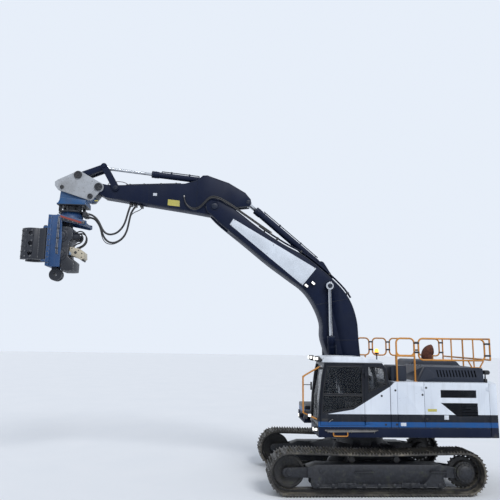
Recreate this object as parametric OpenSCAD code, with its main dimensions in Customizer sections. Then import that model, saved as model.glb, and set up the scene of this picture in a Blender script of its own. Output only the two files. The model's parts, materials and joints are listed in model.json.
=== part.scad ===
// Pile driving rig: a crawler excavator that carries a side gripping vibratory head on its stick.
// X points forward to the head, Y to the left (cab side), Z up, and the origin lies on the ground
// under the middle of the slew ring. A two-number point is [x, z] in a side view.

/* [Tracks] */
// Distance between the two track centre lines
gauge = 2600; // [2500:1:2700]
// Width of one track shoe
shoe_w = 600; // [560:1:700]
// Distance from one shoe to the next
pitch = 216; // [212:1:218]
// Radius of the chain's pitch line round the idler and the sprocket, before it closes on whole shoes
turn_r = 408; // [400:1:420]
// Distance between the idler and the sprocket centres
wheelbase = 4011; // [3980:1:4030]
// Height of the shoe's bars above the chain's pitch line
shoe_h = 80; // [74:1:86]
// How far the top run hangs down in the middle
sag = 38; // [10:1:45]
// Height of the beam of a track frame
beam_h = 275; // [250:1:290]
// Width of the beam of a track frame
beam_w = 360; // [320:1:380]

/* [House] */
// Width of the house over its doors
house_w = 2980; // [2940:1:3010]
// Height of the underside of the house above the ground
deck_z = 1245; // [1235:1:1260]
// Height of the deep edge beam around the deck
deck_h = 220; // [205:1:230]
// Height of the white side panels' top edge
panel_top = 2480; // [2470:1:2500]
// Thickness of the side panels and service doors
panel_t = 45; // [35:1:60]
// Clearance between a service door and what frames it
door_gap = 6; // [5:1:8]
// How far the counterweight's back lies behind the swing axis
tail_r = 3200; // [3150:1:3280]

/* [Cab] */
// Width of the cab
cab_w = 1005; // [960:1:1008]
// Thickness of the cab's posts and walls
cab_t = 50; // [40:1:60]
// Thickness of the window glass
glass_t = 6; // [5:1:8]
// Height of the cab roof above the ground
roof_z = 3045; // [3030:1:3060]

/* [Boom] */
// Width of the boom
boom_w = 500; // [470:1:504]
// Thickness of the boom's plates
boom_t = 16; // [14:1:25]
// Distance from the middle to each boom cylinder
boom_cyl_y = 365; // [363:1:367]
// Outer radius of a boom cylinder's tube
boom_tube_r = 92; // [84:1:94]
// Radius of a boom cylinder's rod
boom_rod_r = 50; // [44:1:58]

/* [Stick] */
// Width of the stick
stick_w = 340; // [320:1:344]
// Thickness of the stick's plates
stick_t = 14; // [12:1:20]
// Outer radius of the stick cylinder's tube
arm_tube_r = 92; // [84:1:93]
// Radius of the stick cylinder's rod
arm_rod_r = 55; // [48:1:60]
// Outer radius of the tool cylinder's tube
tool_tube_r = 80; // [74:1:84]
// Radius of the tool cylinder's rod
tool_rod_r = 45; // [40:1:50]

/* [Head] */
// Outer radius of the steel tube that the jaws close on
pile_r = 228.5; // [215:0.5:236]
// Height of the jaws
jaw_h = 810; // [760:1:830]
// Thickness of a jaw outside the gripped tube
jaw_t = 105; // [90:1:115]
// Width of the vibrator's housing
vibro_w = 560; // [520:1:590]

/* [Hidden] */
$fn = 48;

// Clearance between a piece and the seat that carries it
seat = 0.3;
// Clearance round a pin that turns in a bore
pin_gap = 0.5;
// Clearance between pieces that pass each other
pass = 6;

// Number of shoes that closes the loop, and the pitch line's radius and centre height that follow
shoe_n = round((2 * wheelbase + 2 * PI * turn_r) / pitch);
track_r = (shoe_n * pitch - 2 * wheelbase) / 360 * 180 / PI;
axle_z = track_r + shoe_h;
front_x = 2000;
back_x = front_x - wheelbase;
chain_in = 45;
chain_w = 200;
chord_dip = 1.1 * pow(pitch / 2, 2) / 8 / (track_r - chain_in);
wheel_r = track_r - chain_in - chord_dip - seat;
track_y = gauge / 2;
roller_r = 88;
roller_z = shoe_h + chain_in + seat + roller_r;
beam_z = 385;

// Pins of the boom, stick and tool linkage as [x, z]
boom_foot = [150, 1970];
boom_tip = [3850, 6870];
stick_tip = [6920, 7300];
boom_cyl_base = [750, 1500];
boom_cyl_eye = [810, 4800];
arm_cyl_base = [980, 5380];
arm_cyl_eye = [2950, 7030];
tool_cyl_base = [4050, 7620];
guide_pin = [6480, 7300];
link_top = guide_pin + [340, 590];
coupler_pin = [7470, 7615];

// Boom outline: top edge [x, z] and under edge [x, z], from the foot to the tip
BOOM = [
    [-5, 2010, 300, 1930],
    [-20, 2700, 680, 2640],
    [35, 3426, 968, 3411],
    [78, 3960, 990, 3857],
    [263, 4489, 1171, 4309],
    [643, 4945, 1450, 4690],
    [1386, 5562, 1850, 4985],
    [2022, 5908, 2412, 5388],
    [2690, 6338, 3043, 5896],
    [3334, 6827, 3687, 6400],
    [3720, 7066, 3960, 6660]
];

// Stick outline: distance forward, top edge, under edge
STICK = [
    [4330, 7600, 6705],
    [4659, 7494, 6754],
    [5600, 7438, 6883],
    [6454, 7387, 7003],
    [6760, 7390, 7046]
];

// Heel of the stick behind the boom tip, from its top to its under edge
STICK_HEEL = [
    [4190, 7735], [4060, 7745], [3990, 7717], [3483, 7550], [3033, 7290],
    [2882, 7110], [2870, 7000], [2909, 6925], [3330, 6872], [3640, 6700]
];

house_y = house_w / 2;
deck_top = deck_z + deck_h;
bay_front = -455;
door_a = -507;
door_b = -1144;
// Front face of the counterweight, and the back and front of the bay's opening on the right and top
bay_back = 500 - tail_r;
open_back = bay_back + 60;
open_front = door_b - 5;
cab_out = house_y;
cab_in = cab_out - cab_w;
cab_mid = cab_out - cab_w / 2;
cab_floor = deck_top + 8;
hood_in = -60;
hood_lid = 1170;
hood_out = 1300;

// Cab outline in a side view, clockwise from the front of the floor
CAB = [
    [1350, cab_floor], [1350, 1700], [1322, 2100], [1262, 2600], [1196, 2905],
    [-165, 2905], [-262, 2780], [-335, 2377], [-335, cab_floor]
];

// Door and rear side window in the same view: the glass ends on the slanting line below it
door_low = cab_floor + 25;
DOOR = [[1306, door_low], [1306, 1700], [1280, 2100], [1222, 2600], [1164, 2870], [262, 2870], [262, door_low]];
DOOR_GLASS_LOW = [[1240, 1790], [1010, 1830], [530, 1905], [325, 2020]];
DOOR_GLASS_TOP = [[325, 2815], [1120, 2815], [1170, 2600], [1226, 2230]];
SIDE_GLASS = [[170, 2250], [170, 2815], [-140, 2815], [-205, 2720], [-262, 2420]];

// A slab across Y with its side view given as an outline in X and Z
module slab(y_mid, width) {
    translate([0, y_mid + width / 2, 0])
        rotate([90, 0, 0])
            linear_extrude(width)
                children();
}

// The same slab on both sides of the middle plane
module slab_pair(y_mid, width) {
    slab(y_mid, width) children();
    slab(-y_mid, width) children();
}

// A round bar across Y at the side view point p
module bar_y(p, r, y_mid, width) {
    translate([p.x, y_mid + width / 2, p.y])
        rotate([90, 0, 0])
            cylinder(h = width, r = r);
}

// A straight link in a side view with a round end at p and at q
module link(p, q, rp, rq) {
    reach = norm(q - p);
    dir = atan2(q.y - p.y, q.x - p.x);
    lean = acos((rp - rq) / reach);
    up = [cos(dir + lean), sin(dir + lean)];
    down = [cos(dir - lean), sin(dir - lean)];
    translate(p) circle(rp);
    translate(q) circle(rq);
    polygon([p + rp * up, q + rq * up, q + rq * down, p + rp * down]);
}

// A round tube between two points in space
module tube(a, b, r) {
    run = b - a;
    translate(a)
        rotate([0, acos(run.z / norm(run)), atan2(run.y, run.x)])
            cylinder(h = norm(run), r = r, $fn = 16);
}

// A block from its low corner to its high corner
module block(low, high) {
    translate(low) cube(high - low);
}

// A smooth line through the points p, with n steps between two of them
function curve(p, n) = [
    for (i = [0:len(p) - 2], k = [0:n - 1])
        let (t = k / n, a = p[max(i - 1, 0)], b = p[i], c = p[i + 1], d = p[min(i + 2, len(p) - 1)])
        0.5 * (2 * b + (c - a) * t + (2 * a - 5 * b + 4 * c - d) * t * t
            + (3 * b - a - 3 * c + d) * t * t * t),
    p[len(p) - 1]
];
function back(p) = [for (i = [len(p) - 1:-1:0]) p[i]];
function toward(a, b, step) = a + (b - a) * step / norm(b - a);

// Middle of the top or bottom run, and the turn round each wheel, as [x, z, turn] at the length s
turn_l = track_r * PI;
loop_l = 2 * wheelbase + 2 * turn_l;
function on_track(s) =
    s < wheelbase ? [back_x + s, axle_z - track_r, 0]
    : s < wheelbase + turn_l ? let (a = (s - wheelbase) / track_r * 180 / PI)
        [front_x + track_r * sin(a), axle_z - track_r * cos(a), a]
    : s < 2 * wheelbase + turn_l ? let (u = (s - wheelbase - turn_l) / wheelbase)
        [front_x - u * wheelbase, axle_z + track_r - sag * pow(sin(180 * u), 2), 180]
    : let (a = (s - 2 * wheelbase - turn_l) / track_r * 180 / PI)
        [back_x - track_r * sin(a), axle_z + track_r * cos(a), 180 + a];

// The point that lies ds along and dn outwards from the track's place c
function off_track(c, ds, dn) = [
    c.x + ds * cos(c.z) + dn * sin(c.z),
    c.y + ds * sin(c.z) - dn * cos(c.z)
];

// One shoe in a side view as [along, outwards]: a flat plate with three bars
bar_half = 11;
plate_h = shoe_h - 34;
SHOE = [
    [-0.47 * pitch, plate_h - 14], [-0.47 * pitch, plate_h],
    [-0.36 * pitch - bar_half, plate_h], [-0.36 * pitch, shoe_h], [-0.36 * pitch + bar_half, shoe_h],
    [-0.36 * pitch + 2 * bar_half, plate_h],
    [-1.5 * bar_half, plate_h], [-bar_half / 2, shoe_h], [bar_half / 2, shoe_h], [1.5 * bar_half, plate_h],
    [0.36 * pitch - 2 * bar_half, plate_h], [0.36 * pitch - bar_half, shoe_h], [0.36 * pitch, shoe_h],
    [0.36 * pitch + bar_half, plate_h],
    [0.47 * pitch, plate_h], [0.47 * pitch, plate_h - 14]
];

// A loop at the distance dn outside the pitch line, with n points
module track_loop(dn, n) {
    polygon([for (i = [0:n - 1]) off_track(on_track(loop_l * (i + 0.5) / n), 0, dn)]);
}

module track(side) {
    slab(side * track_y, shoe_w)
        difference() {
            polygon([
                for (i = [0:shoe_n - 1], p = SHOE)
                    off_track(on_track(loop_l * (i + 0.5) / shoe_n), p.x, p.y)
            ]);
            track_loop(12, 2 * shoe_n);
        }
    slab(side * track_y, chain_w)
        difference() {
            track_loop(13, 2 * shoe_n);
            track_loop(-chain_in, 2 * shoe_n);
        }
}

module track_left() { color([0.11, 0.10, 0.09]) track(1); }
module track_right() { color([0.11, 0.10, 0.09]) track(-1); }

// Idler: a flanged wheel on its axle, between the yokes of the track frame
idler_w = 130;
yoke_gap = 150;
module idlers() {
    color([0.13, 0.12, 0.12])
        for (s = [-1, 1]) {
            difference() {
                union() {
                    bar_y([front_x, axle_z], wheel_r - 6, s * track_y, idler_w);
                    bar_y([front_x, axle_z], wheel_r, s * track_y, 60);
                }
                for (t = [-1, 1])
                    bar_y([front_x, axle_z], wheel_r - 70, s * track_y + t * idler_w / 2, 60);
                bar_y([front_x, axle_z], 50 + pin_gap, s * track_y, idler_w + 2);
            }
            bar_y([front_x, axle_z], 50, s * track_y, 2 * yoke_gap - 2);
        }
}

// Sprocket: a toothed ring on the round housing of the final drive
tooth_n = 21;
module sprockets() {
    color([0.13, 0.12, 0.12])
        for (s = [-1, 1]) {
            slab(s * track_y, 90)
                translate([back_x, axle_z]) {
                    circle(wheel_r - 32);
                    for (i = [0:tooth_n - 1])
                        rotate(i * 360 / tooth_n)
                            polygon([[wheel_r - 36, -28], [wheel_r - seat, -12],
                                [wheel_r - seat, 12], [wheel_r - 36, 28]]);
                }
            bar_y([back_x, axle_z], 240, s * (track_y + 40), 260);
            bar_y([back_x, axle_z], 200, s * (track_y + 190), 60);
            bar_y([back_x, axle_z], 150, s * (track_y - 150), 200);
        }
}

// Bottom rollers under each beam, and two carrier rollers that hold up the top run
roller_step = (wheelbase - 1211) / 8;
ROLLER_X = [for (i = [0:8]) front_x - 630 - i * roller_step];
CARRIER_X = [front_x - 1440, back_x + 1531];
carrier_r = 70;
function run_z(x) = axle_z + track_r - sag * pow(sin(180 * (front_x - x) / wheelbase), 2);
function carrier_z(x) = run_z(x) - chain_in - carrier_r - seat;
module rollers() {
    color([0.12, 0.11, 0.11])
        for (s = [-1, 1]) {
            for (x = ROLLER_X) {
                bar_y([x, roller_z], roller_r, s * track_y, 190);
                bar_y([x, roller_z], roller_r + 20, s * (track_y + 112), 20);
                bar_y([x, roller_z], roller_r + 20, s * (track_y - 112), 20);
                bar_y([x, roller_z], 40, s * track_y, beam_w - 2);
            }
            for (x = CARRIER_X) {
                bar_y([x, carrier_z(x)], carrier_r, s * (track_y + 20), 110);
                bar_y([x, carrier_z(x)], 30, s * (track_y - 50), 160);
            }
        }
}

// Track frame: a box beam with side plates that hold the rollers, idler yokes and guards
beam_front = front_x - wheel_r - 40;
beam_back = back_x + 421;
module track_frames() {
    color([0.09, 0.09, 0.10])
        for (s = [-1, 1])
            difference() {
                union() {
                    slab(s * track_y, beam_w)
                        polygon([
                            [beam_back, beam_z], [beam_front, beam_z], [beam_front, beam_z + beam_h - 60],
                            [beam_front - 200, beam_z + beam_h], [beam_back + 150, beam_z + beam_h],
                            [beam_back, beam_z + beam_h - 60]
                        ]);
                    for (t = [-1, 1]) {
                        // Roller plates under the beam
                        slab(s * track_y + t * (beam_w / 2 - 12), 24)
                            polygon([
                                [front_x - 480, beam_z + 5], [back_x + 501, beam_z + 5], [back_x + 451, 190],
                                [back_x + 511, 165], [front_x - 550, 165], [front_x - 480, 220]
                            ]);
                        // Idler yoke and the arm to the final drive
                        slab(s * track_y + t * (yoke_gap - 19), 36)
                            link([beam_front - 120, axle_z], [front_x + 60, axle_z], 115, 100);
                        slab(s * track_y + t * 140, 40)
                            link([beam_back + 60, axle_z + 20], [back_x + 250, axle_z], 130, 118);
                    }
                    // Brackets of the carrier rollers
                    for (x = CARRIER_X)
                        block([x - 60, s * (track_y - 102.5) - 17.5, beam_z + beam_h - 30],
                            [x + 60, s * (track_y - 102.5) + 17.5, carrier_z(x) + 45]);
                }
                for (t = [-1, 1])
                    bar_y([front_x, axle_z], 50 + pin_gap, s * track_y, 400);
                bar_y([back_x, axle_z], 240 + seat, s * track_y, 700);
                for (x = ROLLER_X)
                    bar_y([x, roller_z], 40 + pin_gap, s * track_y, beam_w + 40);
                for (x = CARRIER_X)
                    bar_y([x, carrier_z(x)], 30 + pin_gap, s * track_y, 400);
            }
}

// Carbody: the pedestal of the slew ring and four legs that run out to the beams
ring_r = 640;
ring_z = 1070;
race_h = 90;
tow_x = 760;
tow_z = 640;
tow_w = 80;
module leg(sx, sy) {
    hull() {
        block([sx * 480 - 170, sy * 330 - 150, 560], [sx * 480 + 170, sy * 330 + 150, 900]);
        block([sx * 900 - 190, sy * (track_y - beam_w / 2 - seat) - 20 * (1 + sy), 420],
            [sx * 900 + 190, sy * (track_y - beam_w / 2 - seat) + 20 * (1 - sy), 640]);
    }
}
module carbody() {
    color([0.09, 0.09, 0.10]) {
        difference() {
            union() {
                translate([0, 0, 880]) cylinder(h = ring_z - 880, r = ring_r - 60);
                block([-650, -480, 540], [650, 480, 885]);
                for (sx = [-1, 1], sy = [-1, 1])
                    leg(sx, sy);
                // Towing eyes at the front and the back
                for (sx = [-1, 1])
                    translate([0, 0, tow_z - tow_w / 2])
                        linear_extrude(tow_w)
                            link([sx * 600, 0], [sx * tow_x, 0], 95, 80);
            }
            translate([0, 0, 500]) cylinder(h = 900, r = 300);
            for (sx = [-1, 1])
                translate([sx * tow_x, 0, tow_z - tow_w]) cylinder(h = 2 * tow_w, r = 35);
        }
    }
}

// Slew ring: the outer race on the carbody
module slew_ring() {
    color([0.2, 0.2, 0.21])
        difference() {
            translate([0, 0, ring_z + seat]) cylinder(h = race_h, r = ring_r);
            translate([0, 0, ring_z - 1]) cylinder(h = race_h + 30, r = ring_r - 110);
        }
}

// House frame: the deck, its deep edge beams, the boom foot plates and the cylinder lugs
foot_y = boom_w / 2 + pass;
lug_in = boom_cyl_y - 62;
module house_frame() {
    color([0.05, 0.07, 0.13]) {
        difference() {
            union() {
                block([bay_back + 10, -house_y + 20, deck_z], [330, house_y - 20, deck_z + 60]);
                for (s = [-1, 1])
                    block([320, s * 980 - 490, deck_z], [1340, s * 980 + 490, deck_z + 60]);
                block([300, -470, deck_z], [900, 470, deck_z + 70]);
                // Edge beams
                for (s = [-1, 1])
                    block([bay_back + 10, s * (house_y - 56) - 54, deck_z], [1340, s * (house_y - 56) + 54, deck_top]);
                // Cross beams under the cab and the tanks
                for (x = [-330, 1230], s = [-1, 1])
                    block([x, s * 960 - 460, deck_z + 50], [x + 100, s * 960 + 460, deck_top]);
                // Lower race of the slew ring and its rim
                translate([0, 0, ring_z + race_h + 2 * seat])
                    cylinder(h = deck_z - ring_z - race_h, r = ring_r - 20);
                // Plates that carry the boom foot
                slab_pair(foot_y + 24, 48)
                    union() {
                        link([-250, 1500], boom_foot, 180, 175);
                        polygon([[-440, deck_z + 30], [880, deck_z + 30], [720, 1420], [220, 1960],
                            [-150, 1900], [-440, 1500]]);
                    }
                // Lugs of the boom cylinders
                for (s = [-1, 1], t = [-1, 1])
                    slab(s * boom_cyl_y + t * 72, 28)
                        link([700, deck_z + 95], boom_cyl_base, 150, 92);
            }
            translate([0, 0, ring_z]) cylinder(h = 400, r = 290);
        }
        for (s = [-1, 1]) {
            bar_y(boom_foot, 62, s * (foot_y - 40), 180);
            bar_y(boom_cyl_base, 48, s * boom_cyl_y, 172);
        }
    }
}

// Counterweight: one casting with round back corners and two lifting eyes on its top
module counterweight() {
    corner = 240;
    lift_x = 205 - tail_r;
    color([0.80, 0.82, 0.84])
        intersection() {
            block([-tail_r, -house_y, deck_z], [bay_back - seat, house_y, panel_top - 20]);
            translate([0, 0, deck_z]) cylinder(h = 1400, r = tail_r + 40, $fn = 96);
            union() {
                block([-tail_r + corner, -house_y, deck_z], [bay_back, house_y, 2600]);
                block([-tail_r, -house_y + corner, deck_z], [bay_back, house_y - corner, 2600]);
                for (s = [-1, 1])
                    translate([-tail_r + corner, s * (house_y - corner), deck_z])
                        cylinder(h = 1400, r = corner);
            }
        }
    color([0.3, 0.3, 0.32])
        for (s = [-1, 1])
            difference() {
                slab(s * 700, 50)
                    link([lift_x, panel_top - 10], [lift_x, panel_top + 50], 75, 58);
                bar_y([lift_x, panel_top + 50], 30, s * 700, 60);
            }
    // Hinge lugs of the hood and their pins
    color([0.16, 0.17, 0.19])
        for (y = hood_hinge_y) {
            for (t = [-1, 1])
                slab(y + t * 83, 24)
                    link([hood_pin.x, panel_top - 26], hood_pin, hood_hinge_r, hood_hinge_r - 1);
            bar_y(hood_pin, 6, y, 180);
        }
}

// Engine and its cooling pack as one plain mass inside the bay
module engine_block() {
    color([0.25, 0.25, 0.27])
        block([bay_back + 200, -620, deck_z + 60 + seat], [open_front - 200, 520, 2300]);
}

// Fixed side panels of the engine bay, its front wall and the top deck beside the hood
module body_panels() {
    top = panel_top;
    color([0.86, 0.88, 0.90])
        difference() {
            union() {
                // Left panel between the cab and the first door
                slab(house_y - panel_t / 2, panel_t)
                    polygon([[-345, deck_top + seat], [-345, 2377], [bay_front, top],
                        [door_a + door_gap, top], [door_a + door_gap, deck_top + seat]]);
                // Sill under the left doors
                block([bay_back + 2, house_y - panel_t - 40, deck_top + seat],
                    [door_a + door_gap, house_y - panel_t - 10, deck_top + 60]);
                // Rubber strips that the closed doors rest on
                for (x = [[bay_back, door_b], [door_b, door_a]])
                    block([x[0] + 90, house_y - panel_t - 12, deck_top + 10],
                        [x[1] - 30, house_y - panel_t - seat, deck_top + 50]);
                block([open_back + 90, -house_y + panel_t + seat, top - 60],
                    [open_front - 30, -house_y + panel_t + 12, top - 10]);
                // Right panels in front of and behind the door
                block([open_front, -house_y, deck_top + seat], [bay_front, -house_y + panel_t, top]);
                block([bay_back + 2, -house_y, deck_top + seat], [open_back, -house_y + panel_t, top]);
                // Post between the two left doors
                block([door_b - 30, house_y - panel_t - 75, deck_top + seat],
                    [door_b + 30, house_y - panel_t - 10, top]);
                // Top deck with the engine opening
                block([bay_back + 2, -house_y + panel_t + 8, top - 30], [bay_front, house_y - panel_t - 8, top]);
                for (x = [[bay_back + 2, open_back], [open_front, bay_front]])
                    block([x[0], -house_y + panel_t - 1, top - 30], [x[1], -house_y + panel_t + 9, top]);
                block([door_a + door_gap, house_y - panel_t - 10, top - 30],
                    [bay_front, house_y, top]);
                // Front wall of the bay
                block([bay_front - 30, -house_y + 115, deck_z + 62], [bay_front, house_y - 115, top - 20]);
            }
            block([open_back, hood_in + 30, top - 60], [-1120, hood_lid - 30, top + 20]);
        }
}

// Fixed cover over the far half of the bay, with a raised hump, the dark box behind the cab and the
// hood's fixed side
cover_top = 2925;
module cover_shape() {
    polygon([[bay_back - 60, panel_top + seat], [-1360, panel_top + seat], [-1470, cover_top - 55],
        [-1560, cover_top], [bay_back, cover_top - 20], [bay_back - 112, cover_top - 145]]);
}

// Side view of the hood, and of the room inside it
hood_back = bay_back + 5;
hood_wall = 14;
hood_top = panel_top + 348;
module hood_shape(base) {
    polygon([[hood_back, base], [-1082, base], [-1256, hood_top - 12], [-1300, hood_top],
        [hood_back + 51, hood_top - 18], [hood_back + 9, hood_top - 38]]);
}
module hood_room() {
    polygon([[hood_back + hood_wall, panel_top - 10], [-1105, panel_top - 10], [-1266, hood_top - 28],
        [-1306, hood_top - hood_wall], [hood_back + 55, hood_top - 32], [hood_back + 25, hood_top - 48]]);
}
slot_step = (1565 + hood_back + 215) / -12;
module rear_cover() {
    color([0.16, 0.17, 0.19]) {
        slab(-680, 1180) cover_shape();
        slab(890, 560)
            polygon([[-860, panel_top + seat], [-470, panel_top + seat], [-470, 2800], [-500, 2836],
                [-830, 2836], [-860, 2800]]);
        // Fixed outer side of the hood with its row of slanting slots
        difference() {
            slab((hood_lid + pass + hood_out) / 2, hood_out - hood_lid - pass) hood_shape(panel_top + seat);
            slab(hood_lid + pass, 2 * (hood_out - hood_lid - pass - hood_wall)) hood_room();
            for (i = [0:12])
                slab(hood_out, 100)
                    translate([-1565 - i * slot_step, panel_top + 115])
                        polygon([[0, 0], [-35, 0], [2, 160], [37, 160]]);
        }
    }
}

// Exhaust: a wide pipe that bends back over the cover
exhaust_at = [-2219, -900];
exhaust_r = 150;
bend_r = 170;
module elbow(r) {
    translate([exhaust_at.x, exhaust_at.y, cover_top - 60]) cylinder(h = 150, r = r);
    translate([exhaust_at.x - bend_r, exhaust_at.y, cover_top + 90])
        rotate([90, 0, 0])
            rotate_extrude(angle = 84)
                translate([bend_r, 0]) circle(r);
}
module exhaust() {
    color([0.22, 0.09, 0.08])
        difference() {
            elbow(exhaust_r);
            elbow(exhaust_r - 8);
            slab(-680, 1180) translate([0, seat]) cover_shape();
        }
}

// Tanks, tool box and the stepped way up on the right of the house
module tank_block() {
    color([0.82, 0.84, 0.86]) {
        block([bay_front + door_gap, -house_y, deck_top + seat], [280, -480, 2380]);
        block([280, -house_y, deck_top + seat], [760, -480, 1980]);
        block([760, -house_y, deck_top + seat], [1320, -480, 1680]);
    }
}

module cab_shape(inset) {
    offset_list = [
        for (i = [0:len(CAB) - 1])
            let (
                a = CAB[(i + len(CAB) - 1) % len(CAB)], b = CAB[i], c = CAB[(i + 1) % len(CAB)],
                u = (b - a) / norm(b - a), v = (c - b) / norm(c - b),
                nu = [-u.y, u.x], nv = [-v.y, v.x],
                m = (nu + nv) / norm(nu + nv)
            )
            b + m * inset / (m * nu)
    ];
    polygon(offset_list);
}

// Cab: a hollow frame of posts with the openings of the door and the windows
HINGE_Z = [1600, 2650];
module cab_frame() {
    color([0.06, 0.07, 0.09]) {
        difference() {
            slab(cab_mid, cab_w) cab_shape(0);
            slab(cab_mid, cab_w - 2 * cab_t) cab_shape(cab_t);
            // Door opening and rear side window on the left, a long window on the right
            slab(cab_out - cab_t / 2, cab_t + 2) polygon(DOOR);
            slab(cab_out - cab_t / 2, cab_t + 2) polygon(SIDE_GLASS);
            slab(cab_in + cab_t / 2, cab_t + 2)
                polygon([[1180, 1900], [1150, 2500], [1090, 2820], [-130, 2820], [-250, 2500], [-250, 2250], [200, 1900]]);
            // Front, rear and roof windows
            block([1100, cab_in + 70, 1560], [1400, cab_out - 70, 2830]);
            block([-400, cab_in + 110, 2420], [-200, cab_out - 110, 2760]);
            block([300, cab_in + 200, 2800], [900, cab_out - 200, 3000]);
        }
        // Door hinges on the rear post
        for (z = HINGE_Z) {
            translate([250, cab_out + 22, z - 60 - seat]) cylinder(h = 60, r = 16);
            block([180, cab_out - 2, z - 50], [245, cab_out + 12, z - 10]);
        }
        // Rubber feet between the cab and the deck's beams
        for (x = [-280, 1280], y = [cab_in + 90, cab_out - 120])
            translate([x, y, deck_top + seat]) cylinder(h = cab_floor - deck_top, r = 45);
    }
}

// Roof: a shallow white pan that overhangs the cab and falls away at the back
module cab_roof() {
    color([0.86, 0.88, 0.90])
        difference() {
            slab(cab_mid, cab_w - 6)
                polygon([[1250, 2905 + seat], [1235, 2970], [1175, roof_z - 12], [900, roof_z],
                    [250, roof_z - 8], [-60, 2985], [-231, 2905 + seat]]);
            block([330, cab_in + 230, 2900], [870, cab_out - 230, 3100]);
        }
}

// Fixed window panes
module cab_glass() {
    g = glass_t;
    color([0.25, 0.32, 0.38, 0.5]) {
        // Front pane, set in the leaning front opening
        slab(cab_mid, cab_w - 2 * 70 - 2 * seat)
            polygon([[1318, 1560 + seat], [1318 + g, 1560 + seat], [1290 + g, 2100], [1172 + g, 2830 - seat],
                [1172, 2830 - seat], [1290, 2100]]);
        // Rear pane
        translate([-318, cab_in + 110 + seat, 2422])
            rotate([0, 10.3, 0])
                cube([g, cab_w - 220 - 2 * seat, 330]);
        // Left rear pane
        slab(cab_out - cab_t / 2, g) offset(delta = -seat) polygon(SIDE_GLASS);
        // Right pane
        slab(cab_in + cab_t / 2, g)
            polygon([[1179, 1900 + seat], [1149, 2500], [1089, 2820 - seat], [-129, 2820 - seat],
                [-249, 2500], [-249, 2250], [200, 1900 + seat]]);
        // Roof pane
        block([300 + seat, cab_in + 200 + seat, 2870], [900 - seat, cab_out - 200 - seat, 2870 + g]);
    }
}

// Operator's chair on its base, and a console on each side
module operator_seat() {
    z0 = cab_floor + cab_t + seat;
    color([0.12, 0.12, 0.13]) {
        block([80, cab_mid - 230, z0], [560, cab_mid + 230, z0 + 320]);
        block([60, cab_mid - 250, z0 + 320], [590, cab_mid + 250, z0 + 440]);
        slab(cab_mid, 480)
            polygon([[60, z0 + 400], [190, z0 + 400], [90, z0 + 1080], [-20, z0 + 1080]]);
        for (s = [-1, 1])
            block([160, cab_mid + s * 330 - 60, z0], [700, cab_mid + s * 330 + 60, z0 + 620]);
    }
}

// Yellow rail in front of the cab, with the mirror that it carries
guard_r = 21;
GUARD = [
    [1366, 2799], [1716, 2592], [1711, 1753], [1378, 1618],
    [1384, 1663], [1669, 1781], [1674, 2568], [1345, 2762]
];
module cab_guard() {
    y = cab_out - 30;
    color([0.85, 0.55, 0.08]) {
        slab(y, 2 * guard_r) polygon(GUARD);
        block([1350 + seat, y - 30, 1600], [1390, y + 30, 1680]);
        slab(y, 60) polygon([[1232, 2740], [1217, 2810], [1370, 2810], [1370, 2740]]);
    }
    color([0.08, 0.08, 0.09]) {
        block([1518, y + 10, 2390], [1695, y + 34, 2414]);
        block([1490, y + 25, 2270], [1530, y + 50, 2520]);
    }
}

// A straight flat bar of half width r from p to q
module strut_bar(p, q, r) {
    side = r * [q.y - p.y, p.x - q.x] / norm(q - p);
    polygon([p + side, q + side, q - side, p - side]);
}

// A flat rectangle with round corners, from low to high
module round_rect(low, high, bend) {
    translate([low.x + bend, low.y]) square([high.x - low.x - 2 * bend, high.y - low.y]);
    translate([low.x, low.y + bend]) square([high.x - low.x, high.y - low.y - 2 * bend]);
    for (x = [low.x + bend, high.x - bend], y = [low.y + bend, high.y - bend])
        translate([x, y]) circle(bend, $fn = 32);
}

// A rounded loop of rail standing along X, from x0 to x1 and z0 to z1, measured to its middle line
rail_bend = 110;
module rail_loop(x0, x1, z0, z1, y) {
    r = [guard_r, guard_r];
    slab(y, 2 * guard_r)
        difference() {
            round_rect([x0, z0] - r, [x1, z1] + r, rail_bend + guard_r);
            round_rect([x0, z0] + r, [x1, z1] - r, rail_bend - guard_r);
        }
}

// Guard rails round the top of the house: [from, to, low, high, inner uprights]
LEFT_RAILS = [
    [-1038, -599, 3077, 3487, []],
    [bay_back - 76, -1144, 2984, 3490, [-1954, -2494]]
];
RIGHT_RAILS = [
    [-717, -364, 3003, 3485, []],
    [-1220, -818, 3003, 3485, []],
    [-2048, -1321, 3003, 3485, []],
    [bay_back - 102, -2191, 3003, 3485, []]
];
LEFT_Y = 1240;
RIGHT_Y = -1390;
rear_x = bay_back - 210;
module rail_side(rows, y) {
    for (r = rows) {
        rail_loop(r[0], r[1], r[2], r[3], y);
        for (x = r[4])
            block([x - 17, y - 17, r[2]], [x + 17, y + 17, r[3]]);
    }
    // Clamps that join one panel to the next
    for (i = [0:len(rows) - 2], z = [3160, 3380])
        block([rows[i + 1][1] - 15, y - 26, z - 22], [rows[i][0] + 15, y + 26, z + 22]);
}
module post(x, y, top, foot) {
    block([x - guard_r, y - guard_r, foot + 4], [x + guard_r, y + guard_r, top]);
    translate([x, y, foot + seat]) cylinder(h = 12, r = 40);
}
module rail_bar(low, high) {
    block(low - guard_r * [1, 1, 1], high + guard_r * [1, 1, 1]);
}
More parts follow.
